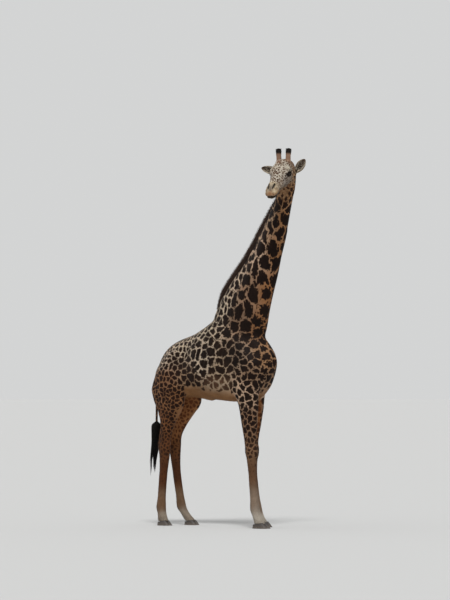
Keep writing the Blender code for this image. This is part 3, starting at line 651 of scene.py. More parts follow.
# Leg places are (ahead of the leg's line, outward from it, z).
LEG_RELIEF = {
    "foreleg": {
        "forearm muscle": ((0.06, 0.05, 1.72), (0.03, 0.05, 1.42), 0.050, 0.008),
        "furrow of the forearm": ((-0.04, 0.09, 1.70), (-0.03, 0.07, 1.28), 0.022, -0.007),
        "front of the forearm": ((0.13, 0.00, 1.66), (0.09, 0.0, 1.26), 0.040, 0.006),
        "knee cap": ((0.085, 0.00, 1.10), (0.085, 0.0, 1.00), 0.040, 0.011),
        "side of the knee": ((0.01, 0.075, 1.08), (0.01, 0.07, 1.02), 0.034, 0.007),
        "above the knee cap": ((0.085, 0.0, 1.165), (0.085, 0.0, 1.15), 0.030, -0.007),
        "back of the knee": ((-0.085, 0.0, 1.06), (-0.08, 0.0, 1.03), 0.034, 0.010),
        "tendon furrow": ((-0.018, 0.045, 0.90), (-0.020, 0.045, 0.36), 0.012, -0.006),
        "fetlock side": ((-0.010, 0.055, 0.27), (-0.010, 0.055, 0.25), 0.032, 0.007),
        "back of the fetlock": ((-0.070, 0.0, 0.25), (-0.070, 0.0, 0.22), 0.026, 0.010),
        "pastern furrow": ((0.060, 0.0, 0.21), (0.075, 0.0, 0.13), 0.016, -0.006),
    },
    "hindleg": {
        "muscle over the stifle": ((0.28, 0.09, 1.96), (0.22, 0.09, 1.72), 0.075, 0.012),
        "knee cap": ((0.33, 0.03, 1.74), (0.31, 0.03, 1.66), 0.055, 0.012),
        "furrow of the thigh": ((-0.08, 0.12, 2.00), (-0.03, 0.085, 1.52), 0.028, -0.009),
        "back edge of the thigh": ((-0.19, 0.03, 1.92), (-0.09, 0.03, 1.56), 0.040, 0.008),
        "hamstring cord": ((-0.075, 0.0, 1.46), (-0.098, 0.0, 1.17), 0.022, 0.007),
        "hollow before the cord": ((-0.045, 0.045, 1.38), (-0.060, 0.045, 1.19), 0.022, -0.013),
        "point of the hock": ((-0.104, 0.0, 1.16), (-0.104, 0.0, 1.13), 0.030, 0.012),
        "side of the hock": ((0.010, 0.062, 1.11), (0.000, 0.062, 1.04), 0.032, 0.007),
        "front of the hock": ((0.078, 0.0, 1.15), (0.075, 0.0, 1.05), 0.030, 0.006),
        "tendon furrow": ((-0.016, 0.043, 0.92), (-0.018, 0.043, 0.36), 0.012, -0.006),
        "fetlock side": ((-0.010, 0.054, 0.27), (-0.010, 0.054, 0.25), 0.032, 0.007),
        "back of the fetlock": ((-0.070, 0.0, 0.25), (-0.070, 0.0, 0.22), 0.026, 0.010),
        "pastern furrow": ((0.058, 0.0, 0.21), (0.072, 0.0, 0.13), 0.016, -0.006),
    },
}

# Head features are lines through points (ahead, up, distance from the middle) of the
# head's frame, each laid on the nearest skin, then radius across and height.
HEAD_RELIEF = {
    "forehead boss": (((0.190, 0.190, 0), (0.250, 0.180, 0)), 0.046, 0.016),
    "brow": (((0.200, 0.057, 0.1), (0.224, 0.089, 0.1), (0.268, 0.099, 0.1),
              (0.320, 0.077, 0.1)), 0.019, 0.016),
    "lower rim of the orbit": (((0.214, -0.005, 0.1), (0.250, -0.029, 0.1),
                                (0.300, -0.029, 0.1), (0.330, -0.005, 0.1)), 0.016, 0.008),
    "tear trough": (((0.318, 0.017, 0.1), (0.374, -0.003, 0.1)), 0.011, -0.007),
    "temple": (((0.120, 0.085, 0.1), (0.166, 0.098, 0.1)), 0.030, -0.011),
    "cheek bone": (((0.300, -0.050, 0.1), (0.400, -0.042, 0.1), (0.470, -0.036, 0.1)),
                   0.018, 0.009),
    "jaw muscle": (((0.090, -0.090, 0.1), (0.150, -0.130, 0.1)), 0.060, 0.012),
    "front of the jaw muscle": (((0.236, -0.055, 0.1), (0.224, -0.150, 0.1)), 0.020, -0.010),
    "furrow behind the jaw": (((0.016, -0.030, 0.1), (0.008, -0.120, 0.1),
                               (0.060, -0.210, 0.1)), 0.026, -0.013),
    "jaw edge": (((0.100, -0.185, 0.1), (0.250, -0.160, 0.1), (0.420, -0.128, 0.1),
                  (0.560, -0.132, 0.1)), 0.018, 0.008),
    "hollow over the jaw edge": (((0.265, -0.120, 0.1), (0.420, -0.094, 0.1),
                                  (0.500, -0.098, 0.1)), 0.018, -0.008),
    "side of the nose": (((0.330, 0.080, 0.1), (0.440, 0.048, 0.1), (0.545, 0.012, 0.1)),
                         0.020, -0.008),
    "ridge of the nose": (((0.280, 0.150, 0), (0.400, 0.100, 0), (0.560, 0.035, 0)),
                          0.024, 0.008),
    "nostril rim": (((0.574, 0.022, 0.043), (0.615, 0.010, 0.038), (0.660, -0.012, 0.031)),
                    0.020, 0.010),
    "nostril": (((0.590, 0.016, 0.043), (0.622, 0.006, 0.038), (0.654, -0.008, 0.030)),
                0.0078, -0.026),
    "wing of the nostril": (((0.590, -0.020, 0.1), (0.645, -0.044, 0.1)), 0.016, 0.008),
    "upper lip": (((0.590, -0.068, 0.1), (0.650, -0.082, 0.1), (0.700, -0.086, 0.05),
                   (0.700, -0.084, 0.0)), 0.020, 0.009),
    "parting of the upper lip": (((0.700, -0.010, 0), (0.716, -0.080, 0)), 0.007, -0.004),
    "mouth": (((0.500, -0.082, 0.1), (0.580, -0.100, 0.1), (0.640, -0.112, 0.1),
               (0.700, -0.115, 0.062), (0.700, -0.115, 0.036), (0.700, -0.114, 0)),
              0.0075, -0.013),
    "corner of the mouth": (((0.488, -0.080, 0.1), (0.494, -0.081, 0.1)), 0.014, 0.006),
    "lower lip": (((0.580, -0.122, 0.1), (0.645, -0.132, 0.1), (0.695, -0.132, 0.04),
                   (0.695, -0.131, 0)), 0.014, 0.007),
    "chin": (((0.620, -0.158, 0), (0.660, -0.150, 0)), 0.028, 0.009),
    "wrinkles over the lip": (((0.560, -0.030, 0.1), (0.575, -0.062, 0.1)), 0.007, -0.004),
    "horn root": (((0.108, 0.150, 0.074), (0.116, 0.160, 0.074)), 0.052, 0.016),
    "outside of the horn root": (((0.122, 0.104, 0.1), (0.106, 0.150, 0.1)), 0.036, 0.017),
    "ear root": (((0.036, -0.034, 0.1), (0.052, -0.022, 0.1)), 0.040, 0.014),
    "throat": (((0.100, -0.200, 0), (0.070, -0.270, 0)), 0.060, 0.012),
}
FEATURE_LINES = {}              # the features' points on the skin, once it is there
LID_SLANT = 16.0                # the eye's long axis falls forwards by this, in degrees
LID_HALF_LENGTH = 0.0335
LID_HALF_HEIGHT = 0.0250


def line_distance(points, start, end):
    """Distance of each point from the line between start and end."""
    start, run = np.asarray(start, float), np.subtract(end, start)
    along = np.clip((points - start) @ run / max(run @ run, 1e-12), 0, 1)
    return np.linalg.norm(points - start - along[:, None] * run, axis=1)


def bell(distance, radius):
    """1 at no distance, and 1/e at the radius: exp(-(distance / radius)^2)."""
    return np.exp(-(distance / radius) ** 2)


def relief(points, table):
    """Sum of the table's ridges and furrows: each falls off as a bell round its line."""
    return sum(height * bell(line_distance(points, start, end), radius)
               for start, end, radius, height in table.values())


def nearest_leg(points):
    """Name of the leg whose side and end of the body each point is on."""
    kind = np.where(points[:, 0] > FORELEGS_FROM, "foreleg_", "hindleg_")
    return np.char.add(kind, np.where(points[:, 1] > 0, "left", "right"))


def leg_coordinates(points, leg):
    """Ahead of, and outward from, the leg's line, and the height."""
    x, y = leg_line(leg, points[:, 2]).T
    outward = SIDES[leg.split("_")[1]] * (points[:, 1] - y)
    return columns(points[:, 0] - x, outward, points[:, 2])


def mirrored(points, aside=1):
    """Points with their distance from the middle in the column that leads aside: y, or
    left in the head's frame (2)."""
    points = np.array(points)
    points[:, aside] = np.abs(points[:, aside])
    return points


def body_relief(points):
    """Height of all the modelling at points of the skin, off the head."""
    x, _, z = points.T
    total = relief(mirrored(points), BODY_RELIEF)
    chest = (ease(-0.86, -0.72, x) * ease(-0.24, -0.36, x)
             * ease(1.86, 2.00, z) * ease(2.62, 2.44, z))
    slant = x - 0.28 * (z - 2.2)
    total += RIB_HEIGHT * chest * np.cos(2 * math.pi * slant / RIB_SPACING)
    names = nearest_leg(points)
    for leg in LEG_LINES:
        mine = (names == leg) & (z < 2.3)
        local = leg_coordinates(points[mine], leg)
        modelled = relief(local, LEG_RELIEF[leg.split("_")[0]])
        total[mine] += modelled * ease(2.2, 2.05, local[:, 2])
    return total


def about_eye(local, slant):
    """Places along and over a line through the eye's middle, which falls forwards by
    the slant in degrees."""
    slant, ahead, up = math.radians(slant), local[:, 0] - EYE[0], local[:, 1] - EYE[1]
    return (ahead * math.cos(slant) - up * math.sin(slant),
            ahead * math.sin(slant) + up * math.cos(slant))


def lid_height(reach):
    """Half height of the lids' opening at a share of its half length: an almond's."""
    return LID_HALF_HEIGHT * (1 - 0.38 * np.clip(reach, -1, 1) ** 2)


def lid_place(points):
    """How far each point of the head is from the eye's middle, as a share of the lids'
    opening, and the slanted height above it."""
    local = to_head(points)
    along, over = about_eye(local, LID_SLANT)
    reach = along / LID_HALF_LENGTH
    share = np.hypot(reach, over / lid_height(reach))
    return np.where(np.abs(local[:, 2]) > 0.07, share, 9.0), over


def eye_skin_and_shade(points):
    """1 on the dark skin and painted shadow round each eye, longest towards the nose, and 0
    beyond it.
    """
    local = to_head(points)
    along, over = about_eye(local, -14)
    share = np.hypot(along / np.where(along > 0, 0.084, 0.064), (over + 0.004) / 0.041)
    return ease(1.0, 0.78, share) * (np.abs(local[:, 2]) > 0.05)


def flattened(point):
    """What distances count for near a point of the head: little from the middle on its
    side, little ahead on the front of the muzzle, and less in height along the middle."""
    if point[2] > 0.09:
        return np.array([1, 1, 0.15])
    return np.array([0.15, 1, 1]) if point[0] > 0.69 else np.array([1, 0.4, 1])


def laid_on(local, point):
    """The skin's point nearest to a feature's point, in flattened distances."""
    return local[np.argmin((((local - point) * flattened(point)) ** 2).sum(1))]


def nearness(local, name, radius, flat=False):
    """1 on a named feature of the head, falling off as a bell of the given radius; a flat
    one reaches the bottom of the feature's own furrow."""
    count = np.where(flattened(HEAD_RELIEF[name][0][0]) < 1, 0.12, 1.0) if flat else np.ones(3)
    line = [station * count for station in FEATURE_LINES[name]]
    away = [line_distance(local * count, a, b) for a, b in zip(line[:-1], line[1:])]
    return bell(np.min(away, axis=0), radius)


def head_relief(points):
    """Height of the modelling on the head, with the lids as a ring round each eye."""
    local = mirrored(to_head(points), 2)
    total = np.zeros(len(points))
    for name, (line, radius, height) in HEAD_RELIEF.items():
        FEATURE_LINES[name] = [laid_on(local, point) for point in line]
        total += height * nearness(local, name, radius)
    share, over = lid_place(points)
    rim = bell(share - 1.12, 0.17) * (0.0060 + 0.0040 * ease(-0.01, 0.01, over))
    fold = -0.0050 * bell(share - 1.60, 0.15)
    pouch = 0.003 * bell(share - 1.95, 0.20)
    socket = -0.020 * ease(1.02, 0.80, share)
    return total + rim + fold + pouch + socket


def make_skin(finish):
    """The fused, fitted and modelled skin, drawn in by the depth of the coat."""
    flesh = [egg_rings(TRUNK, count=44, around=40, power=2.1), neck_rings(), head_rings(),
             stalk_rings(TAIL, count=40, around=16), *(leg_rings(leg) for leg in LEG_LINES)]
    skin = fused("skin", flesh, SKIN_GRID)
    for wanted in (lambda middles: on_head(middles) > 0.3, face_detail,
                   lambda middles: near_eye(middles, LID_DETAIL)):
        split_faces(skin, wanted)
    head_shape = fused("head shape", [neck_rings(), head_rings()], HEAD_GRID)
    fitted_to(skin, head_shape, on_head(coordinates(skin.data)))
    bpy.data.objects.remove(head_shape)
    mesh = skin.data
    mean = neighbour_mean(mesh)
    co = coordinates(mesh)
    head = on_head(co)
    for _ in range(2):
        co += SMOOTHING[0] * (mean(co) - co)
    normal = surface_normals(triangles(mesh), co)
    depth = blend(COAT_DEPTH, FACE_DEPTH, np.maximum(head, ease(1.5, 0.6, co[:, 2])))
    height = blend(body_relief(co), head_relief(co), head)
    set_coordinates(mesh, co + normal * (height - depth)[:, None])
    mesh.shade_smooth()
    mesh.materials.clear()
    mesh.materials.append(finish)
    return skin


# ---- Markings -----------------------------------------------------------------------


def linear(rgb):
    """A colour given as 0-255 screen values, as the light it reflects."""
    value = np.asarray(rgb, float) / 255
    return np.where(value <= 0.04045, value / 12.92, ((value + 0.055) / 1.055) ** 2.4)


NECK_MARKS_FROM = 2.90          # height above which the blotches are upright
NO_BLOTCHES = 3.0               # a gap this wide leaves only the ground colour
SEEDS_TRIED = 34000             # points of the skin that may become a blotch's middle

# Named places: point (x, distance from the middle, z), spacing of the blotches, width of
# the pale gap between them, ground colour, blotch colour.
COAT_PLACES = {
    "flank": ((-0.62, 0.33, 2.30), 0.134, 0.0110, (176, 158, 138), (20, 11, 6)),
    "rear flank, low": ((-0.88, 0.30, 1.98), 0.104, 0.0125, (138, 112, 88), (28, 15, 8)),
    "girth, low": ((-0.40, 0.31, 1.97), 0.100, 0.0240, (148, 128, 106), (70, 49, 35)),
    "girth": ((-0.38, 0.31, 2.22), 0.126, 0.0140, (148, 128, 106), (28, 16, 9)),
    "shoulder": ((-0.08, 0.28, 2.36), 0.134, 0.0120, (128, 108, 90), (20, 11, 6)),
    "point of the shoulder": ((0.14, 0.22, 2.12), 0.112, 0.0125, (130, 104, 82), (23, 12, 7)),
    "breast": ((0.28, 0.08, 2.34), 0.126, 0.0160, (140, 106, 76), (26, 14, 8)),
    # The back, withers, loin and rump have a paler ground: partly the net's own colour, partly
    # painted highlight of the light from above.
    "back": ((-0.75, 0.10, 2.86), 0.094, 0.0120, (186, 170, 148), (24, 14, 8)),
    "withers": ((-0.50, 0.10, 3.02), 0.090, 0.0120, (180, 162, 140), (24, 14, 8)),
    "loin": ((-1.08, 0.15, 2.64), 0.080, 0.0110, (180, 162, 140), (25, 14, 8)),
    "rump": ((-1.42, 0.20, 2.38), 0.070, 0.0105, (182, 162, 142), (27, 15, 8)),
    "thigh": ((-1.38, 0.30, 2.02), 0.064, 0.0100, (126, 90, 64), (31, 15, 8)),
    "stifle": ((-1.14, 0.28, 1.78), 0.062, 0.0105, (122, 84, 54), (35, 18, 9)),
    "gaskin": ((-1.40, 0.22, 1.45), 0.056, 0.0115, (112, 72, 44), (37, 20, 10)),
    "hock": ((-1.44, 0.17, 1.12), 0.050, 0.0180, (86, 52, 29), (44, 25, 13)),
    "hind cannon": ((-1.45, 0.17, 0.72), 0.046, 0.040, (71, 39, 19), (54, 29, 14)),
    "hind fetlock": ((-1.42, 0.17, 0.30), 0.050, 0.30, (96, 72, 52), (80, 60, 44)),
    "hind pastern": ((-1.36, 0.17, 0.12), 0.050, 0.30, (134, 122, 108), (80, 60, 44)),
    "elbow": ((-0.02, 0.22, 1.88), 0.096, 0.0140, (180, 152, 128), (26, 15, 8)),
    "forearm": ((0.00, 0.20, 1.46), 0.082, 0.0120, (122, 93, 71), (27, 14, 8)),
    "knee": ((-0.03, 0.17, 1.08), 0.064, 0.0155, (108, 80, 58), (42, 26, 16)),
    "fore cannon": ((-0.02, 0.17, 0.76), 0.050, 0.045, (86, 60, 40), (68, 45, 29)),
    "fore fetlock": ((0.03, 0.17, 0.30), 0.050, 0.30, (116, 98, 82), (80, 60, 44)),
    "fore pastern": ((0.09, 0.17, 0.12), 0.050, 0.30, (152, 144, 132), (80, 60, 44)),
    "neck root, front": ((0.20, 0.12, 2.80), 0.205, 0.0190, (128, 88, 56), (21, 11, 6)),
    "neck root, side": ((-0.12, 0.20, 2.90), 0.170, 0.0150, (122, 96, 76), (21, 11, 6)),
    # The rows for the back of the neck are paler: partly their own colour, partly painted
    # highlight along the top line.
    "neck root, back": ((-0.52, 0.10, 3.16), 0.090, 0.0125, (186, 168, 146), (26, 15, 9)),
    "lower neck, front": ((0.32, 0.06, 3.25), 0.205, 0.0240, (132, 90, 56), (22, 11, 6)),
    "lower neck, side": ((-0.02, 0.17, 3.30), 0.180, 0.0180, (130, 102, 80), (21, 11, 6)),
    "lower neck, back": ((-0.26, 0.08, 3.45), 0.104, 0.0150, (184, 162, 140), (26, 15, 9)),
    "middle neck, front": ((0.46, 0.05, 3.80), 0.184, 0.0260, (136, 96, 62), (23, 12, 7)),
    "middle neck, back": ((0.12, 0.10, 3.85), 0.148, 0.0175, (174, 148, 126), (24, 13, 8)),
    "upper neck, front": ((0.58, 0.06, 4.28), 0.152, 0.0240, (144, 104, 70), (24, 13, 8)),
    "upper neck, back": ((0.32, 0.08, 4.35), 0.128, 0.0175, (160, 134, 110), (24, 13, 8)),
    "throat": ((0.62, 0.08, 4.66), 0.120, 0.0170, (144, 112, 84), (25, 14, 8)),
}

# Places on the head, in its own frame.
HEAD_PLACES = {
    "throat latch": ((0.10, -0.26, 0.06), 0.092, 0.0180, (172, 126, 84), (34, 18, 10)),
    "back of the jaw": ((0.06, -0.10, 0.11), 0.078, 0.0170, (158, 124, 90), (38, 20, 11)),
    "jaw": ((0.20, -0.15, 0.09), 0.066, 0.0180, (158, 122, 86), (66, 38, 21)),
    "cheek": ((0.24, -0.09, 0.11), 0.050, 0.0165, (142, 130, 114), (66, 46, 34)),
    "side of the face": ((0.36, -0.03, 0.10), 0.044, 0.0135, (158, 150, 140), (68, 54, 46)),
    "nose": ((0.45, 0.07, 0.02), 0.050, 0.0125, (178, 170, 156), (74, 54, 42)),
    "muzzle": ((0.63, -0.06, 0.05), 0.040, 0.0400, (164, 148, 124), (96, 80, 68)),
    "under the jaw": ((0.40, -0.14, 0.02), 0.040, 0.04, (136, 110, 84), (90, 66, 48)),
    "forehead": ((0.22, 0.16, 0.05), 0.048, 0.0125, (182, 173, 158), (76, 54, 40)),
    "crown": ((0.04, 0.13, 0.04), 0.054, 0.0180, (146, 120, 96), (60, 38, 26)),
}

# Spots of a different ground: where, radius, colour, strength.  First for the body and
# then, in its own frame, for the head.
BODY_SPOTS = {
    "knee cap": ((0.10, 0.165, 1.05), 0.060, (118, 96, 76), 0.5),
}
HEAD_SPOTS = {
    "over the eye": ((0.235, 0.108, 0.105), 0.042, (214, 208, 190), 0.9),
    "behind the eye": ((0.150, 0.040, 0.118), 0.035, (190, 180, 164), 0.7),
    "under the eye": ((0.310, -0.040, 0.122), 0.048, (116, 106, 98), 0.8),
    "side of the nose": ((0.470, 0.010, 0.085), 0.040, (104, 84, 70), 0.6),
    "over the nostrils": ((0.585, 0.020, 0.0), 0.034, (190, 172, 140), 0.6),
    "upper lip": ((0.706, -0.066, 0.0), 0.036, (156, 106, 66), 0.85),
    "side of the lip": ((0.660, -0.075, 0.070), 0.026, (196, 178, 142), 0.8),
    "horn root": ((0.105, 0.165, 0.074), 0.045, (150, 116, 92), 0.8),
    "ear root": ((0.040, -0.020, 0.112), 0.030, (200, 184, 160), 0.5),
}
ONE_SIDED_SPOTS = {
    "mark under the right horn": ((0.212, 0.184, -0.018), 0.034, (100, 58, 31), 1.0),
}
# Tints along the head's features: feature, radius, colour, strength.
# Those in the tear trough, the nostrils and the mouth's crease and corners are painted shade.
HEAD_TINTS = (
    # Painted shade along the furrow under the eye.
    ("tear trough", 0.011, (66, 52, 44), 0.8),
    ("lower rim of the orbit", 0.012, (128, 116, 104), 0.6),
    ("nostril rim", 0.020, (186, 166, 132), 0.5),
    # Painted shade: nearly black in the nostril's shallow furrow, standing for the opening's
    # depth.
    ("nostril", 0.0115, (12, 9, 8), 2.0),
    ("upper lip", 0.018, (138, 92, 58), 0.60),
    ("chin", 0.040, (104, 95, 85), 0.85),
    ("lower lip", 0.020, (60, 53, 48), 1.0),
    # Painted shade along the crease between the lips and in the mouth's corners.
    ("mouth", 0.0075, (30, 22, 18), 1.5),
    ("corner of the mouth", 0.012, (60, 48, 42), 0.6),
)
# Dark skin of the lids, spread wide as painted shadow of the lashes round the eye.
LID_SKIN_AND_SHADE = (27, 20, 17)
# The underside's and inner legs' colours: partly their own, partly painted light bounced up
# from below.
BELLY_GROUND_AND_BOUNCE = linear((158, 115, 76))
INNER_LEG_GROUND_AND_BOUNCE = linear((150, 102, 62))
INNER_LEG_SPOT_AND_BOUNCE = linear((112, 66, 38))


def unturned(local):
    """Places of the head's frame (ahead, up, left) with the head level and straight."""
    ahead, up, left = local.T
    return columns(HEAD_JOINT[0] + ahead, np.abs(left), HEAD_JOINT[2] + up)


PLACE_POINTS = [row[0] for row in COAT_PLACES.values()]
PLACE_POINTS += [unturned(np.array(row[0])) for row in HEAD_PLACES.values()]
PLACE_VALUES = [np.array([spacing, gap, *linear(ground), *linear(blotch)])
                for table in (COAT_PLACES, HEAD_PLACES)
                for _, spacing, gap, ground, blotch in table.values()]


def folded(points):
    """Points with their distance from the body's middle instead of y.  The head is first
    turned back to look straight ahead."""
    return blend(mirrored(points), unturned(to_head(points)), on_head(points)[:, None])


def coat_values(points):
    """Spacing, gap, ground and blotch colour at points of the skin: the mean of the
    named places, each weighted by the inverse fourth power of its distance."""
    where = folded(points)
    total = weights = 0
    for place, value in zip(PLACE_POINTS, PLACE_VALUES):
        weight = 1 / (((where - place) ** 2).sum(1)[:, None] + 2e-3) ** 2
        total = total + weight * value
        weights = weights + weight
    return total / weights


def spotted(colour, points, table):
    """The colour with the table's spots laid over it, each a bell round its place."""
    for place, radius, spot, strength in table.values():
        near = bell(np.linalg.norm(points - place, axis=1), radius)[:, None] * strength
        colour = blend(colour, linear(spot), near)
    return colour


def head_colours(colour, points):
    """The colour with the head's spots, the tints of its features and the lids' dark skin, with
    painted shade in creases and round the eyes.
    """
    colour = spotted(colour, to_head(points), ONE_SIDED_SPOTS)
    local = mirrored(to_head(points), 2)
    colour = spotted(colour, local, HEAD_SPOTS)
    for name, radius, tinge, strength in HEAD_TINTS:
        near = np.minimum(nearness(local, name, radius, flat=True)[:, None] * strength, 1)
        colour = blend(colour, linear(tinge), near)
    # Dark lid skin and painted shadow round each eye.
    return blend(colour, linear(LID_SKIN_AND_SHADE), eye_skin_and_shade(points)[:, None])


def markings(points, normals):
    """Everything the coat's finish reads at points of the skin."""
    values = coat_values(points)
    _, y, z = points.T
    # The belly, the groin and the insides of the legs have no blotches, or faint ones.
    # Their orange colours are partly their own, partly painted light bounced up from below.
    under = ease(-0.30, -0.90, normals[:, 2]) * ease(2.30, 1.95, z) * ease(1.25, 1.60, z)
    inside = (ease(0.15, 0.65, -normals[:, 1] * np.sign(y)) * ease(2.25, 1.95, z)
              * ease(0.28, 0.20, np.abs(y)))
    gap = values[:, 1] + 0.25 * under**2 + 0.02 * under + 0.008 * inside
    inside = (inside * ease(0.9, 1.5, z))[:, None]
    ground = blend(values[:, 2:5], BELLY_GROUND_AND_BOUNCE, under[:, None])
    ground = spotted(blend(ground, INNER_LEG_GROUND_AND_BOUNCE, inside), folded(points), BODY_SPOTS)
    both = np.stack([ground, blend(values[:, 5:8], INNER_LEG_SPOT_AND_BOUNCE, 0.7 * inside)])
    head = on_head(points)
    both[:, head > 0.3] = head_colours(both[:, head > 0.3], points[head > 0.3])
    upright = np.clip(ease(2.95, 3.25, z) + ease(2.05, 1.80, z), 0, 1)
    return {"spacing": values[:, 0], "gap": gap, "ground": both[0], "blotch": both[1],
            "upright": upright, "face": head, "root": shortened(points)}


def shortened(points):
    """Points with the neck's length taken at 0.72 of itself, where the markings are laid
    out: back on the neck, blotches that are round there become upright ones."""
    return points - 0.28 * np.clip(points - NECK_MARKS_FROM, 0, 1.8) * [0, 0, 1]


def scatter_seeds(co):
    """Middles of the blotches: points of the skin taken in random order, each kept if no
    earlier one is nearer than most of the spacing there."""
    co = co[rng.permutation(len(co))[:SEEDS_TRIED]]
    reach = coat_values(co)[:, 0] * (0.76 - 0.12 * on_head(co))
    kept = np.full(co.shape, np.inf)
    count = 0
    for point, least in zip(shortened(co), reach):
        if ((kept[:count] - point) ** 2).sum(1).min(initial=np.inf) > least * least:
            kept[count] = point
            count += 1
    return kept[:count]


def lay_markings(mesh, points, normals, seeds, owners, domain="FACE", per=1):
    """Writes the coat's attributes: those that vary on the points, and the nearest seeds
    of each owner (a face's middle or a tuft's root).  Each value is given `per` times."""
    for name, values in markings(points, normals).items():
        add_attribute(mesh, name, np.repeat(values, per, axis=0))
    tree = KDTree(len(seeds))
    for i, point in enumerate(seeds):
        tree.insert(point, i)
    tree.balance()
    near = np.array([[i for _, i, _ in tree.find_n(owner, SEEDS_READ)]
                     for owner in shortened(owners)])
    for k in range(SEEDS_READ):
        add_attribute(mesh, f"seed{k + 1}", np.repeat(seeds[near[:, k]], per, axis=0), domain)


# ---- Finishes -----------------------------------------------------------------------


def tint(rgb):
    """A colour given as 0-255 screen values, as a mix takes it."""
    return tuple(linear(rgb))


def operators(operation):
    """A Math node as an operator, and the same with its sides changed over."""
    return (lambda a, b: a.finish.math(operation, a, b),
            lambda a, b: a.finish.math(operation, b, a))


class Value:
    """What a node gives out.  Arithmetic on it adds Math nodes."""

    def __init__(self, finish, socket):
        self.finish, self.socket = finish, socket

    __add__, __radd__ = operators("ADD")
    __sub__, __rsub__ = operators("SUBTRACT")
    __mul__, __rmul__ = operators("MULTIPLY")
    __truediv__ = operators("DIVIDE")[0]
    __pow__ = operators("POWER")[0]


class Finish:
    """A material built node by node."""

    def __init__(self, name):
        self.material = bpy.data.materials.new(name)
        self.material.use_nodes = True
        self.tree = self.material.node_tree
        self.tree.nodes.clear()
        self.shader = self.tree.nodes.new("ShaderNodeBsdfPrincipled")
        out = self.tree.nodes.new("ShaderNodeOutputMaterial")
        self.tree.links.new(self.shader.outputs[0], out.inputs["Surface"])

    def put(self, socket, value):
        """Joins a node's output, or sets a plain value."""
        if isinstance(value, Value):
            self.tree.links.new(value.socket, socket)
        else:
            socket.default_value = value

    def set(self, **inputs):
        """Sets the shader's inputs, named with _ for a space."""
        for name, value in inputs.items():
            self.put(self.shader.inputs[name.replace("_", " ")], value)

    def node(self, kind, output, inputs, **settings):
        """Adds a node with its inputs, by order or by name, and gives one output."""
        node = self.tree.nodes.new("ShaderNode" + kind)
        for key, value in settings.items():
            setattr(node, key, value)
        named = inputs if isinstance(inputs, dict) else dict(enumerate(inputs))
        for key, value in named.items():
            self.put(node.inputs[key], value)
        return Value(self, node.outputs[output])

    def math(self, operation, *values):
        return self.node("Math", 0, values, operation=operation)

    def vector(self, operation, *values, output="Vector"):
        return self.node("VectorMath", output, values, operation=operation)

    def attribute(self, name, output="Fac"):
        return self.node("Attribute", output, (), attribute_name=name)

    def position(self):
        return self.node("TexCoord", "Object", ())

    def parts(self, vector):
        outputs = self.node("SeparateXYZ", 0, [vector]).socket.node.outputs
        return [Value(self, socket) for socket in outputs]

    def noise(self, vector, scale, detail=2.0, rough=0.5, output="Fac", stretch=None):
        if stretch:
            vector = self.node("Mapping", 0, {"Vector": vector, "Scale": stretch})
        return self.node("TexNoise", output, {"Vector": vector, "Scale": scale,
                                              "Detail": detail, "Roughness": rough})

    def ramp(self, value, low, high, to_low=0.0, to_high=1.0, how="LINEAR"):
        """The range low ... high taken to to_low ... to_high, and held beyond its ends."""
        return self.node("MapRange", 0, {"Value": value, "From Min": low, "From Max": high,
                                         "To Min": to_low, "To Max": to_high},
                         interpolation_type=how)

    def spread(self, noise, low, high):
        """The range that a noise mostly keeps to, taken to low ... high."""
        return self.ramp(noise, 0.3, 0.7, low, high)

    def mix(self, share, a, b, how="MIX"):
        a, b = ((*c, 1) if isinstance(c, tuple) else c for c in (a, b))
        return self.node("Mix", 2, {0: share, 6: a, 7: b}, data_type="RGBA", blend_type=how)

    def times(self, colour, other):
        return self.mix(1.0, colour, other, "MULTIPLY")

    def bump(self, height, distance, strength):
        self.set(Normal=self.node("Bump", 0, {"Distance": distance, "Strength": strength,
                                              "Height": height}))


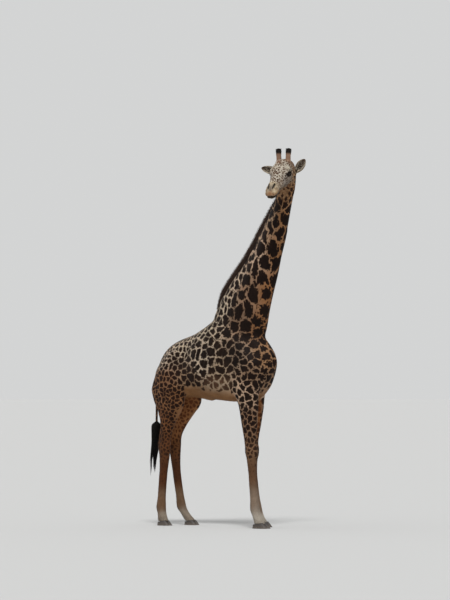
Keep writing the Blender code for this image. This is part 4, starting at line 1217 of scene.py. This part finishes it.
def coat_finish():
    """Dark blotches in a pale net, over combed hair.

    The point is shifted by a few sizes of noise, and its distances to the four nearest
    seeds are sorted as they come.  Half the difference of the two least is the distance
    from the border between two blotches, which the pale gap is laid along."""
    f = Finish("giraffe coat")
    root, ground = f.attribute("root", "Vector"), f.attribute("ground", "Color")
    spacing, face, upright = (f.attribute(name) for name in ("spacing", "face", "upright"))
    place = root
    for scale, reach in EDGE_WANDER:
        wander = f.noise(root, scale, 1.0, output="Color")
        wander = f.vector("SUBTRACT", wander, (0.5, 0.5, 0.5))
        shift = f.node("VectorMath", 0, {0: wander, "Scale": spacing * (reach * 2)},
                       operation="SCALE")
        place = f.vector("ADD", place, shift)
    away = [f.vector("DISTANCE", place, f.attribute(f"seed{k + 1}", "Vector"), output="Value")
            for k in range(SEEDS_READ)]
    low, high = f.math("MINIMUM", *away[:2]), f.math("MAXIMUM", *away[:2])
    for further in away[2:]:
        high = f.math("MINIMUM", high, f.math("MAXIMUM", low, further))
        low = f.math("MINIMUM", low, further)

    # The border is ragged and notched along thin folds of noise, and the gap is uneven.
    ragged = f.spread(f.noise(root, 150.0, 3.0, 0.6), -0.0016, 0.0016)
    fold = f.math("ABSOLUTE", f.noise(root, 17.0, 1.0) - 0.5)
    notch = f.ramp(fold, 0.060, 0.0) * (spacing * -0.11)
    edge = (high - low) * 0.5 + (ragged + notch)
    uneven = f.ramp(f.noise(root, 24.0, 2.0), 0.34, 0.66, -0.75, 1.10) * face
    thin = f.ramp(f.noise(root, 7.5, 1.0), 0.36, 0.64, 0.34, 1.05) * (1.0 + uneven)
    half_gap = f.attribute("gap") * 0.5 * thin
    blotched = f.ramp(edge, half_gap * 0.70, half_gap * 1.10 + 0.0008, how="SMOOTHSTEP")

    # Hair: fine streaks along the lie, along the trunk and down the neck and legs.
    along = f.noise(root, 1.0, 3.0, 0.6, stretch=(24, 200, 200))
    down = f.noise(root, 1.0, 3.0, 0.6, stretch=(200, 200, 24))
    fine = f.noise(root, 170.0, 3.0, 0.6)
    streak = along * (1.0 - upright) + down * upright
    streak = streak * (1.0 - face) + fine * face

    # The net darkens in patches; a blotch is darkest in its middle and varies in tone.
    patch = f.ramp(f.noise(root, 19.0, 4.0, 0.7), 0.47, 0.62) * (0.2 + face * 0.60)
    tanned = f.mix(patch, ground, f.times(ground, tint((178, 160, 142))))
    net = f.times(tanned, f.spread(f.noise(root, 5.0, 3.0), 0.84, 1.16))
    deep = f.ramp(edge, half_gap, spacing * 0.42, 1.35, 0.85)
    tone = f.spread(f.noise(root, 11.0, 2.0), 0.75, 1.25) * deep
    colour = f.mix(blotched, net, f.times(f.attribute("blotch", "Color"), tone))
    f.set(Base_Color=f.times(colour, f.spread(streak, 0.80, 1.20)),
          Roughness=f.spread(streak, 0.50, 0.70), Specular_IOR_Level=0.09)
    f.bump(streak, 0.0016, 0.8)
    return f.material


def hair_finish(name, root_colour, tip_colour):
    """Long hair: colour runs from root to tip by the `reach` attribute, with streaks."""
    f = Finish(name)
    colour = f.mix(f.attribute("reach"), tint(root_colour), tint(tip_colour))
    colour = f.times(colour, f.ramp(f.attribute("tint"), 0.0, 1.0, 0.62, 1.45))
    fine = f.noise(f.position(), 60.0, 2.0, stretch=(4, 4, 1))
    f.set(Base_Color=f.times(colour, f.spread(fine, 0.85, 1.15)),
          Roughness=f.spread(fine, 0.42, 0.60), Specular_IOR_Level=0.2)
    return f.material


def eye_finish():
    """A dark brown iris with a broad level pupil, in a thin pale-rimmed white; `gaze`
    holds the point's place as seen along the eye's axis, in eye radii."""
    f = Finish("giraffe eye")
    gaze = f.attribute("gaze", "Vector")
    across, up, _ = f.parts(gaze)
    out = f.math("SQRT", across ** 2.0 + up ** 2.0)
    pupil = f.math("SQRT", (across / 0.36) ** 2.0 + (up / 0.20) ** 2.0)
    fibres = f.noise(gaze, 3.0, 4.0, stretch=(9, 9, 1))
    colour = f.mix(fibres, tint((20, 11, 7)), tint((48, 28, 16)))
    colour = f.mix(f.ramp(out, 0.66, 0.76), colour, tint((22, 14, 11)))
    colour = f.mix(f.ramp(out, 0.86, 0.94), colour, tint((52, 40, 33)))
    colour = f.mix(f.ramp(pupil, 0.90, 1.06), tint((3, 3, 5)), colour)
    f.set(Base_Color=colour, Roughness=0.07, Specular_IOR_Level=0.24)
    return f.material


def hoof_finish():
    """Dark grey horn with growth rings, scuffed and dusty towards the floor."""
    f = Finish("hoof horn")
    where = f.position()
    height = f.parts(where)[2]
    rings = f.noise(where, 1.0, 3.0, 0.6, stretch=(6, 6, 150))
    chips = f.noise(where, 90.0, 4.0, 0.6)
    colour = f.mix(rings, tint((34, 30, 28)), tint((66, 58, 53)))
    dusty = f.ramp(height, 0.055, 0.0) * f.ramp(chips, 0.4, 0.6)
    f.set(Base_Color=f.mix(dusty, colour, tint((104, 92, 80))),
          Roughness=f.spread(chips, 0.45, 0.75))
    f.bump(rings + chips * 0.6, 0.0018, 0.9)
    return f.material


def floor_finish():
    """Pale and dull, with a faint speckle."""
    f = Finish("pale floor")
    speckle = f.noise(f.position(), 40.0, 2.0)
    f.set(Base_Color=f.mix(speckle, (0.475, 0.475, 0.47), (0.505, 0.505, 0.50)),
          Roughness=0.9, Specular_IOR_Level=0.1)
    return f.material


# ---- Hair ---------------------------------------------------------------------------


def lie(points, normals):
    """Which way the coat lies: back and down along the trunk, down the neck and legs,
    and from the nose backwards over the head."""
    z = points[:, 2:]
    neck, leg = ease(2.70, 3.20, z), ease(2.20, 1.80, z)
    way = (np.array([-0.92, 0.0, -0.38]) * (1 - neck) * (1 - leg)
           + np.array([-0.42, 0.0, -0.90]) * neck + np.array([-0.10, 0.0, -1.0]) * leg)
    way = blend(way, -HEAD_AXES[0] - 0.25 * HEAD_AXES[1], on_head(points)[:, None])
    return square_to(normals, way)


def blades(name, paths, half_widths, across, finish, thickness, uv):
    """Closed three-sided blades along paths (n, rings, 3).  Each ring but the last has an
    edge to either side and a ridge above; the last is the point of the blade."""
    n, rings, _ = paths.shape
    run = unit(np.gradient(paths, axis=1))
    across = square_to(run, across)
    above = np.cross(run, across)
    side = across[:, :-1] * half_widths[..., None]
    ridge = above[:, :-1] * half_widths[..., None] * thickness
    body = paths[:, :-1]
    ring = np.stack([body - side, body + side, body + ridge], axis=2).reshape(n, -1, 3)
    points = np.concatenate([ring, paths[:, -1:]], axis=1)
    per = points.shape[1]
    pattern = [[0, 1, 2]]
    for a in range(3 * (rings - 2)):
        b = a - a % 3 + (a + 1) % 3
        pattern += [[b, a, a + 3], [b, a + 3, b + 3]]
    last = 3 * (rings - 2)
    pattern += [[last + (k + 1) % 3, last + k, per - 1] for k in range(3)]
    a, b, c = (points[0][np.array(pattern)[:, k]] - points[0][0] for k in range(3))
    if (a * np.cross(b, c)).sum() < 0:
        pattern = np.array(pattern)[:, ::-1]
    faces = (np.arange(n)[:, None, None] * per + pattern).reshape(-1, 3)
    obj = mesh_object(name, points.reshape(-1, 3), faces, finish)
    patch = np.zeros((per, 2))
    patch[:-1, 0] = np.tile([0.0, 1.0, 0.5], rings - 1)
    patch[:-1, 1] = np.repeat(np.arange(rings - 1) / (rings - 1), 3)
    patch[-1] = (0.5, 1.0)
    spread = (uv[:, None] + (patch - 0.5) * TUFT_PATCH).reshape(-1, 2)
    layer = obj.data.uv_layers.new(name="OFBake")
    layer.data.foreach_set("uv", spread[faces.ravel()].astype(np.float32).ravel())
    return obj, per


def chart(points, region):
    """Unwrap of one side of a region of the skin: the distance along it, and the angle
    round its axis, both as shares."""
    x, y, z = points.T
    y = np.abs(y)
    if region in HEAD_REGIONS:
        ahead, up, left = to_head(points).T
        along, turn = (ahead + 0.10) / 0.84, np.arctan2(np.abs(left), up)
    elif region == "trunk":
        along, turn = (x + 1.70) / 2.10, np.arctan2(y, z - 2.25)
    elif region == "neck":
        along, turn = (z - 2.40) / 2.60, np.arctan2(y, x - 0.36 * (z - 3.1) + 0.12)
    else:
        ahead, outward, _ = leg_coordinates(points, region).T
        along, turn = z / 2.40, (np.arctan2(outward, ahead) + math.pi) / 2
    return np.clip(columns(along, turn / math.pi), 0.005, 0.995)


def region_of(points):
    """Head, face, neck, trunk or the leg's name, for points of the skin."""
    x, _, z = points.T
    # The legs end at the belly's height, and the neck starts on a line up the shoulders.
    names = np.where(z < 1.80, nearest_leg(points), "trunk").astype(object)
    names[(z > 2.86 + 0.45 * (x + 0.2)) & (x > -0.62)] = "neck"
    head = on_head(points) > 0.5
    names[head] = np.where(to_head(points[head])[:, 0] > 0.20, "face", "head")
    return names


def sown(mesh, count, density):
    """Random points of the skin, more where density(points, normals) is high, with their
    normals: triangles are drawn by area times density."""
    corners, co, normals = triangles(mesh), coordinates(mesh), vertex_normals(mesh)
    p, q, r = (co[corners[:, k]] for k in range(3))
    area = np.linalg.norm(np.cross(q - p, r - p), axis=1) / 2
    weight = area * (density((p + q + r) / 3, normals[corners].mean(1)) + 1e-6)
    chosen = rng.choice(len(corners), size=count, p=weight / weight.sum())
    a, b = rng.random((2, count, 1))
    over = a + b > 1
    a, b = np.where(over, 1 - a, a), np.where(over, 1 - b, b)
    tri = corners[chosen]
    share = np.concatenate([1 - a - b, a, b], axis=1)[..., None]
    return (co[tri] * share).sum(1), unit((normals[tri] * share).sum(1))


def break_lines(points, normals):
    """1 where the coat breaks the animal's outline: along the belly and breast, behind
    the elbows, thighs and hocks, round the fetlocks and hooves and under the jaw."""
    z = points[:, 2]
    belly = ease(-0.4, -0.9, normals[:, 2]) * ease(1.6, 1.75, z) * ease(2.5, 2.2, z)
    back_edge = ease(-0.4, -0.9, normals[:, 0]) * ease(2.2, 1.9, z)
    fetlock = ease(0.40, 0.30, z) * ease(-0.1, -0.7, normals[:, 0])
    jaw = on_head(points) * ease(-0.05, -0.12, to_head(points)[:, 1])
    return np.clip(belly + back_edge + fetlock + ease(0.17, 0.11, z) + jaw, 0, 1)


def coat_density(points, normals):
    """Even over all but the head, and denser where the outline is broken."""
    return (1 - on_head(points)) * (1 + 1.2 * break_lines(points, normals))


def head_density(points, normals):
    """Even over the head, but none within the lids and fewer on the lips."""
    ahead, up, _ = to_head(points).T
    lips = np.where((ahead > 0.60) & (up < -0.09), 0.35, 1.0)
    return on_head(points) * ease(1.0, 1.12, lid_place(points)[0]) * lips


def strands(start, way, lengths, rings, curl=(0, 0, 0)):
    """Paths from each start along its way, drawn aside by the curl times the square of
    the share of their length."""
    share = np.linspace(0, 1, rings)[:, None]
    long = lengths[:, None, None]
    return start[:, None] + way[:, None] * long * share + np.array(curl) * long * share**2


def combed(points, normals, rings):
    """Paths, half widths and sideways directions of flat tufts rooted at the points: each
    starts a little under the skin and rises along a parabola (a line, with two rings)."""
    n = len(points)
    way = lie(points, normals)
    way = unit(way + np.cross(normals, way) * rng.normal(0, 0.15, (n, 1)))
    face, low_leg = on_head(points), ease(1.3, 0.5, points[:, 2])
    rough = break_lines(points, normals)
    muzzle = face * ease(0.46, 0.60, to_head(points)[:, 0])
    places = columns(1, face, muzzle, low_leg, rough * (1 - muzzle), rough * (1 - face))
    length, width, lift = (places @ list(TUFT_SIZES.values())).T
    size = rng.uniform(0.75, 1.25, n)
    lift = lift * rng.uniform(0.6, 1.4, n)
    sunk = (0.0005 - 0.0002 * face)[:, None]
    share = np.linspace(0, 1, rings)
    rise = -sunk + (lift[:, None] + sunk) * (1 - (1 - share) ** 2)
    paths = strands(points, way, length * size, rings) + normals[:, None] * rise[..., None]
    widths = (width * size)[:, None] * np.array([0.75, 1.0])[:rings - 1]
    return paths, widths, np.broadcast_to(np.cross(normals, way)[:, None], paths.shape)


def coat_tufts(skin, seeds, finish):
    """Short flat tufts over the whole skin, smallest on the face and feet: body and head
    are sown apart, and each region's side is a piece of its own."""
    for count, density, rings, regions in (
            (COAT_TUFTS, coat_density, 2, ("neck", "trunk", *LEG_LINES)),
            (HEAD_TUFTS, head_density, 3, HEAD_REGIONS)):
        points, normals = sown(skin.data, count, density)
        paths, widths, across = combed(points, normals, rings)
        found = region_of(points)
        found = np.where(np.isin(found, regions), found, regions[0])
        left = (to_head(points)[:, 2] if regions == HEAD_REGIONS else points[:, 1]) > 0
        for region in regions:
            for side in SIDES:
                if region in LEG_LINES and side not in region:
                    continue
                mine = np.nonzero((found == region) & (left == (side == "left")))[0]
                name = f"coat_{region}" if region in LEG_LINES else f"coat_{region}_{side}"
                obj, per = blades(name, paths[mine], widths[mine], across[mine], finish,
                                  TUFT_THICKNESS, chart(points[mine], region))
                lay_markings(obj.data, points[mine], normals[mine], seeds, points[mine],
                             "POINT", per)
                yield obj


def long_hair(name, paths, across, finish, half_width, thickness):
    """Blades of long hair with their share of length as `reach` and a tint each."""
    n, rings, _ = paths.shape
    share = np.linspace(0, 1, rings)
    widths = half_width * np.broadcast_to(1 - 0.75 * share[:-1] ** 2, (n, rings - 1))
    height = paths[..., 2]
    uv = columns(np.linspace(0, 1, n), (height[:, 0] - height.min()) / np.ptp(height))
    across = np.broadcast_to(across[:, None], paths.shape)
    obj, per = blades(name, paths, widths, across, finish, thickness, uv.clip(0.01, 0.99))
    add_attribute(obj.data, "reach", np.tile([*np.repeat(share[:-1], 3), 1.0], n))
    add_attribute(obj.data, "tint", np.repeat(rng.random(n), per))
    return obj


def make_mane(finish):
    """Stiff upright hair along the nape: blades rooted in a thin strip, the outer ones
    leaning out and all of them leaning a little back and up the neck."""
    n = MANE_BLADES
    share = np.sort(rng.uniform(MANE_FROM, MANE_TO, n))
    axis, nape, left, depth, _ = neck_line(share)
    along = (share - MANE_FROM) / (MANE_TO - MANE_FROM)
    tall = MANE_HEIGHT * np.clip(np.sin(math.pi * along) * 3.2, 0.0, 1.0) ** 0.7
    tall = np.maximum(tall, 0.015) * rng.uniform(0.72, 1.0, n)
    offset = rng.uniform(-1, 1, n)
    root = (axis + nape * (depth - MANE_ROOT)
            + left * (offset * 0.8 * MANE_HALF_THICKNESS)[:, None])
    upward = np.cross(nape, left)
    upward *= np.sign(upward[:, 2:])
    lean = unit(nape + left * (0.10 * offset + rng.normal(0, 0.06, n))[:, None]
                + upward * (0.18 + rng.normal(0, 0.10, n))[:, None])
    bend = rng.normal(0, 0.008, (n, 1, 1)) * np.linspace(0, 1, 4)[:, None] ** 2
    paths = strands(root, lean, tall + MANE_ROOT, 4) + left[:, None] * bend
    return long_hair("mane_hair", paths, unit(np.cross(lean, left)), finish,
                     half_width=0.0015, thickness=0.6)


def make_tassel(finish):
    """The tail's long hair in locks.  The strands fan out from the stalk's end, gather
    towards their lock's own line and run out at different heights, so that the tassel
    ends in split wisps."""
    n, rings = TAIL_STRANDS, 11
    lock = rng.integers(0, TAIL_LOCKS, n)
    order = np.arange(TAIL_LOCKS)
    lock_angle = (order * 2.4)[lock][:, None]
    lock_out = np.sqrt((order + 0.5) / TAIL_LOCKS)[lock][:, None]
    lock_end = (0.62 + 0.40 * rng.random(TAIL_LOCKS) ** 1.1)[lock]
    lock_wave, drift_x, drift_y = (
        rng.uniform(low, high, TAIL_LOCKS)[lock][:, None]
        for low, high in ((0, 2 * math.pi), (-0.026, 0.030), (-0.055, 0.055)))
    end = lock_end * (1 - 0.28 * rng.random(n) ** 2.2)
    start = 0.20 * rng.random(n) ** 1.3
    at = start[:, None] + (end - start)[:, None] * np.linspace(0, 1, rings) ** 1.7
    x, z, radius = (v.reshape(n, rings) for v in stalk_line(TUFT, at.ravel())[:3])
    grown = at - start[:, None]
    fan = 0.20 + 0.95 * ease(-0.03, 0.18, grown) - 0.45 * ease(0.18, 0.50, at)
    own_angle = rng.uniform(0, 2 * math.pi, (n, 1))
    reach = np.sqrt(rng.random((n, 1)))
    own = reach * (0.026 - 0.018 * ease(0.30, 1.0, at)) * ease(-0.05, 0.12, grown)
    wave = (0.010 * np.sin(at * 10 + lock_wave) + 0.003 * np.sin(at * 23 + own_angle)) * at
    late = ease(0.40, 1.0, at)
    out = radius * lock_out * fan
    x = x + out * np.cos(lock_angle) + own * np.cos(own_angle) + wave + drift_x * late
    y = (out * np.sin(lock_angle) + own * np.sin(own_angle) + wave * np.cos(lock_wave)
         + drift_y * late)
    facing = rng.uniform(0, 2 * math.pi, n)
    return long_hair("tail_hair", columns(x, y, z), columns(np.cos(facing), np.sin(facing), 0),
                     finish, half_width=0.0017, thickness=0.7)


# ---- Ears, horns, eyes, hooves ------------------------------------------------------


def sided(values, side):
    """A point or direction of the head's frame, for that side."""
    return np.array(values) * [1, 1, SIDES[side]]


def plain_coat(obj, colours):
    """Gives a tube the coat's attributes with a ground colour only: one for each point of
    its rings (rows, around, 3)."""
    colours = np.concatenate([colours[:1], colours, colours[-1:]]).reshape(-1, 3)
    co = coordinates(obj.data)
    values = {"root": co, "ground": colours, "blotch": colours, "gap": NO_BLOTCHES,
              "spacing": 0.02, "upright": 1, "face": 0,
              **{f"seed{k + 1}": (0, 0, 0) for k in range(SEEDS_READ)}}
    for name, value in values.items():
        shape = co.shape if np.ndim(value) else len(co)
        add_attribute(obj.data, name, np.broadcast_to(value, shape))


def ear_frame(side):
    """Root of the ear, the way it points, the way it opens and across, on the head."""
    out = unit(np.array(EAR_DIRECTIONS[side]))
    ahead = unit(np.array([1.0, 0.1, 0]) - out[0] * out)
    return sided(EAR_ROOT, side), out, ahead, np.cross(out, ahead)


def ear_roll(share):
    """The angle to either side that the leaf is rolled by, at a share of its length."""
    return 0.70 + 1.10 * (1 - share) ** 1.2


def ear_points(side, share, turn, wall):
    """Points of an ear at shares of its length and turns of -1 ... 1 from edge to edge,
    this share of its wall inside the outer surface.  The leaf is rolled about its
    length, into a tube at the root and less towards the tip."""
    root, out, ahead, across = ear_frame(side)
    leaf = np.maximum(EAR_WIDTH / 2 * np.sin(math.pi * share**1.15) ** 0.65,
                      0.026 * (1 - share) ** 1.5)
    roll = ear_roll(share)
    bend = turn * roll
    bow = leaf / np.maximum(np.sin(np.minimum(roll, math.pi / 2)), 0.2)
    inwards = EAR_WALL * (0.45 + 0.55 * (1 - share)) * wall
    deep = bow * np.cos(roll) - (bow - inwards) * np.cos(bend)
    return from_head(root + out * (EAR_LENGTH * (share - 0.10))[..., None]
                     + across * ((bow - inwards) * np.sin(bend))[..., None]
                     + ahead * deep[..., None])


def make_ear(side, finish):
    """A leaf-shaped shell, open towards the front, darker in its hollow with painted shade."""
    share = np.linspace(0, 0.985, 46)[:, None]
    turn = np.linspace(-1, 1, 25)
    outer, inner = (ear_points(side, share, turn, wall * np.sqrt(1 - 0.75 * turn**2))
                    for wall in (0, 1))
    obj = tube_object("ear_skin_" + side, np.concatenate([outer, inner[:, ::-1]], axis=1),
                      finish)
    turn = np.concatenate([turn, turn[::-1]])[:, None]
    pale = linear((186, 170, 148))
    # Painted shade inside the ear's hollow, paler towards its lower edge.
    hollow = blend(linear((84, 68, 58)), pale, 0.75 * ease(-0.1, 0.7, -SIDES[side] * turn))
    inside = np.arange(len(turn))[:, None] >= len(turn) / 2
    colour = blend(np.where(inside, hollow, linear((150, 124, 98))), pale, np.abs(turn) ** 6)
    tip = 0.5 * ease(0.78, 1.0, share)[..., None]
    plain_coat(obj, blend(colour, linear((96, 78, 66)), tip))
    return obj


def make_ear_hair(side, finish):
    """Pale hair inside the ear: rooted along both edges and in the bottom of the roll,
    lying outwards and over the opening."""
    _, out, ahead, aside = ear_frame(side)
    n = EAR_HAIRS
    share = 0.14 + 0.62 * rng.random(n) ** 1.3
    edge = rng.random(n) < 0.5
    lower = np.where(rng.random(n) < 0.65, -SIDES[side], SIDES[side])
    turn = lower * np.where(edge, rng.uniform(0.70, 0.96, n), rng.uniform(0.0, 0.75, n))
    bend = turn * ear_roll(share)
    inward = -np.sign(turn) * np.abs(np.sin(bend))
    way = unit(out + aside * (0.42 * inward + rng.normal(0, 0.10, n))[:, None]
               + ahead * (0.22 + 0.30 * np.cos(bend) + rng.normal(0, 0.06, n))[:, None])
    long = rng.uniform(0.020, 0.042, n) * np.where(edge, 1.0, 0.7)
    paths = strands(ear_points(side, share, turn, 0.8), way @ HEAD_AXES, long, 4,
                    0.25 * out @ HEAD_AXES)
    return long_hair("ear_hair_" + side, paths, unit(np.cross(way, ahead)) @ HEAD_AXES,
                     finish, half_width=0.0006, thickness=0.6)


def horn_points(side, share, angle, radius):
    """Points round a horn at shares of its length, and the directions out from its axis
    and along it."""
    lean = unit(sided(OSSICONE_LEAN, side))
    ahead = square_to(lean, np.array([1.0, 0, 0]))
    angle = np.asarray(angle)[..., None]
    around = np.cos(angle) * ahead + np.sin(angle) * np.cross(lean, ahead)
    axis = sided(OSSICONE_FOOT, side) + lean * (share * OSSICONE_LENGTH)[..., None]
    return axis + around * radius[..., None], around, lean


def horn_radius(share):
    """Radius of a horn's shaft and knob at shares of its length."""
    known = np.linspace(0, 0.94, len(OSSICONE_RADII))
    return through(known, OSSICONE_RADII, np.minimum(share, 0.94))


def make_horn(side, finish):
    """A blunt horn covered in skin, knobbed on top, with shallow wrinkles."""
    share = np.linspace(0, 1, 52)
    radius = horn_radius(share) * np.sqrt(
        np.maximum(1 - ((share - 0.88) / 0.122).clip(0) ** 2, 0.02))
    share, angles = share[:, None], turn_angles(36)
    wrinkle = (0.0007 * np.sin(share * 71 + 3 * np.sin(angles * 2 + share * 9))
               + 0.0009 * np.sin(angles * 5 + share * 13))
    wide = radius[:, None] + wrinkle * ease(0.98, 0.85, share)
    points = horn_points(side, share, angles, wide)[0]
    obj = tube_object("horn_" + side, from_head(points), finish)
    black = ease(0.66, 0.80, share)[..., None]
    colour = blend(linear((128, 100, 82)), linear((27, 21, 19)), black)
    plain_coat(obj, np.broadcast_to(colour, points.shape))
    return obj


def make_knob_hair(side, finish):
    """Short black hair round the horn's top, lying upwards and outwards."""
    n = KNOB_HAIRS
    share = rng.uniform(0.72, 0.955, n)
    angle = rng.uniform(0, 2 * math.pi, n)
    start, around, lean = horn_points(side, share, angle, horn_radius(share) - 0.002)
    way = unit(lean * rng.uniform(0.8, 1.2, n)[:, None]
               + around * rng.uniform(0.10, 0.38, n)[:, None])
    long = rng.uniform(0.012, 0.022, n) * ease(1.08, 0.90, share)
    paths = from_head(strands(start, way, long, 3))
    return long_hair("horn_hair_" + side, paths, unit(np.cross(way, around)) @ HEAD_AXES,
                     finish, half_width=0.0008, thickness=0.6)


def make_lashes(side, skin_points, finish):
    """Long dark lashes, most along the upper lid: they stand out over the eye, down and
    then curling up."""
    n = LASHES
    upper = np.arange(n) < 0.72 * n
    reach = rng.uniform(-0.88, 0.92, n)
    over = lid_height(reach) * np.sqrt(1 - reach**2) * 1.05 * np.where(upper, 1, -1)
    along = reach * LID_HALF_LENGTH
    slant = math.radians(LID_SLANT)
    at_ahead = EYE[0] + along * math.cos(slant) + over * math.sin(slant)
    at_up = EYE[1] - along * math.sin(slant) + over * math.cos(slant)
    local = to_head(skin_points)
    local = local[(local[:, 2] * SIDES[side] > 0.06) & (eye_distance(local) < 0.06)]
    gap = (local[:, 0] - at_ahead[:, None]) ** 2 + (local[:, 1] - at_up[:, None]) ** 2
    way = unit(columns(0.55 * reach + 0.15,
                       np.where(upper, -0.85, -0.60) + rng.normal(0, 0.06, n),
                       0.80 * SIDES[side]))
    long = np.where(upper, 0.027, 0.011) * rng.uniform(0.75, 1.1, n)
    paths = from_head(strands(local[gap.argmin(1)], way, long, 5, (0, 0.30, 0)))
    return long_hair("lashes_" + side, paths, np.broadcast_to(HEAD_AXES[0], (n, 3)), finish,
                     half_width=0.00055, thickness=0.8)


def make_eye(side, finish):
    """An eyeball with a raised cornea: a ball on polar rings round its line of sight."""
    centre = from_head(sided(EYE, side))
    sight = unit(sided(EYE_LOOKS, side) @ HEAD_AXES)
    up = square_to(sight, np.array([0, 0, 1.0]))
    aside = np.cross(up, sight)
    polar = np.linspace(0.02, math.pi - 0.02, 40)[:, None, None]
    angles = turn_angles(48)[:, None]
    radius = EYE_RADIUS * (0.985 - 0.05 * ease(0.75, 1.0, polar)
                           + 0.065 * np.cos(np.clip(polar / 0.80, 0, 1) * math.pi / 2))
    rings = centre + radius * (np.sin(polar) * (np.cos(angles) * aside + np.sin(angles) * up)
                               + np.cos(polar) * sight)
    obj = tube_object("eyeball_" + side, rings, finish)
    gaze = (coordinates(obj.data) - centre) @ np.array([aside, up, sight]).T / EYE_RADIUS
    gaze[:, 0] = np.where(gaze[:, 2] > 0, gaze[:, 0], 2.0)
    add_attribute(obj.data, "gaze", gaze)
    return obj


def make_claw(leg, where, finish):
    """One half of a cloven hoof: superellipse sections that narrow upwards and lean back,
    ringed by growth, with a flat sole."""
    kind, side = leg.split("_")
    length, width, front, heel = HOOVES[kind]
    x, y = leg_line(leg, np.array([0.06]))[0]
    middle, height, rise = x + HOOF_AHEAD, (front + heel) / 2, (front - heel) / length
    claw_half = (width - CLEFT) / 4
    outward = -SIDES[side] if where == "inner" else SIDES[side]
    s = np.concatenate([[0.0, 0.02, 0.05], np.linspace(0.1, 1.06, 26)])[:, None]
    ahead, aside = rounded(turn_angles(44), 2.6)
    toe = 1 - 0.30 * np.clip(ahead, 0, 1) ** 2
    ringed = ((1 - 0.025 * ease(0.05, 0.0, s))
              * (1 + 0.010 * np.sin(s * 46) * ease(0.08, 0.2, s)))
    long = middle - 0.14 * length * s + length / 2 * (1 - 0.32 * s) * ringed * ahead
    wide = (y + (claw_half + CLEFT / 2) * (1 - 0.10 * s) * outward
            + claw_half * (1 - 0.12 * s) * ringed * aside * toe)
    rings = columns(long, wide, s * (height + rise * (long - middle)))
    return tube_object(f"claw_{leg}_{where}", rings, finish)


# ---- Stage --------------------------------------------------------------------------


def make_camera():
    """A long lens far off, at the height of the belly and tilted a little upwards."""
    azimuth, tilt = math.radians(CAMERA_AZIMUTH), math.radians(CAMERA_TILT)
    right = np.array([math.cos(azimuth), math.sin(azimuth), 0])
    level = np.array([-math.sin(azimuth), math.cos(azimuth), 0])
    aim = np.array([AIM_X, 0, 0]) + HOME * [1, 1, 0]
    place = aim - level * CAMERA_DISTANCE - right * AIM_ASIDE + [0, 0, CAMERA_HEIGHT]
    data = bpy.data.cameras.new("camera")
    data.lens, data.sensor_width = CAMERA_LENS, CAMERA_SENSOR
    data.clip_end = CAMERA_SIGHT
    camera = placed("camera", data)
    look = Vector(level) * math.cos(tilt) + Vector((0, 0, math.sin(tilt)))
    camera.matrix_world = (Matrix.Translation(place)
                           @ look.to_track_quat("-Z", "Y").to_matrix().to_4x4())
    bpy.context.scene.camera = camera


def make_light():
    """A pale sky all round, a soft key from the front right and a wide weak fill."""
    world = bpy.data.worlds.new("studio")
    bpy.context.scene.world = world
    world.use_nodes = True
    sky = world.node_tree.nodes["Background"]
    sky.inputs[0].default_value, sky.inputs[1].default_value = SKY_COLOUR, SKY_STRENGTH
    for name, (strength, spread, toward) in LAMPS.items():
        data = bpy.data.lights.new(name, "SUN")
        data.energy, data.angle = strength, math.radians(spread)
        light = placed(name, data)
        light.rotation_mode = "QUATERNION"
        light.rotation_quaternion = Vector(toward).to_track_quat("-Z", "Y")


def make_floor():
    """A wide pale disc, a little below the soles so that it never shares their plane."""
    angles, radii = turn_angles(64), np.array(FLOOR_RADII)[:, None]
    points = columns(radii * np.cos(angles), radii * np.sin(angles), -FLOOR_DROP - HOME[2])
    faces = grid_faces(*points.shape[:2])
    mesh_object("floor", points.reshape(-1, 3), faces, floor_finish())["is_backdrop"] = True


# ---- Assembly -----------------------------------------------------------------------


def settle_in(obj, slot, *nodes):
    """Hangs a finished piece on the body's root and hides the solids that it takes the place
    of.
    """
    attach(obj, "root")
    if nodes:
        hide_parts(*nodes)


def build():
    coat, eye, horn = coat_finish(), eye_finish(), hoof_finish()
    dark_hair, black_hair, pale_hair = (
        hair_finish(name, *colours) for name, colours in HAIR_COLOURS.items())
    skin = make_skin(coat)
    co = coordinates(skin.data)
    seeds = scatter_seeds(co)
    lay_markings(skin.data, co, vertex_normals(skin.data), seeds, face_middles(skin.data))
    settle_in(skin, "coat", "head", "neck", "trunk", "tail", *LEG_LINES)
    for piece in coat_tufts(skin, seeds, coat):
        settle_in(piece, "hair")
    settle_in(make_mane(dark_hair), "hair", "mane")
    settle_in(make_tassel(black_hair), "hair", "tail_tuft")
    for side in SIDES:
        settle_in(make_ear(side, coat), "coat", "ear_" + side)
        settle_in(make_horn(side, coat), "coat", "ossicone_" + side)
        settle_in(make_eye(side, eye), "eye", "eye_" + side)
        settle_in(make_ear_hair(side, pale_hair), "hair")
        settle_in(make_lashes(side, co, black_hair), "hair")
        settle_in(make_knob_hair(side, black_hair), "hair")
    for leg in LEG_LINES:
        for where in ("inner", "outer"):
            settle_in(make_claw(leg, where, horn), "horn", f"hoof_{leg}_{where}")
    make_floor()
    make_light()
    make_camera()
    bpy.context.scene.view_settings.view_transform = "Standard"


build()

[[list(corner) for corner in box] for box in (bounds_at_start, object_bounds())]
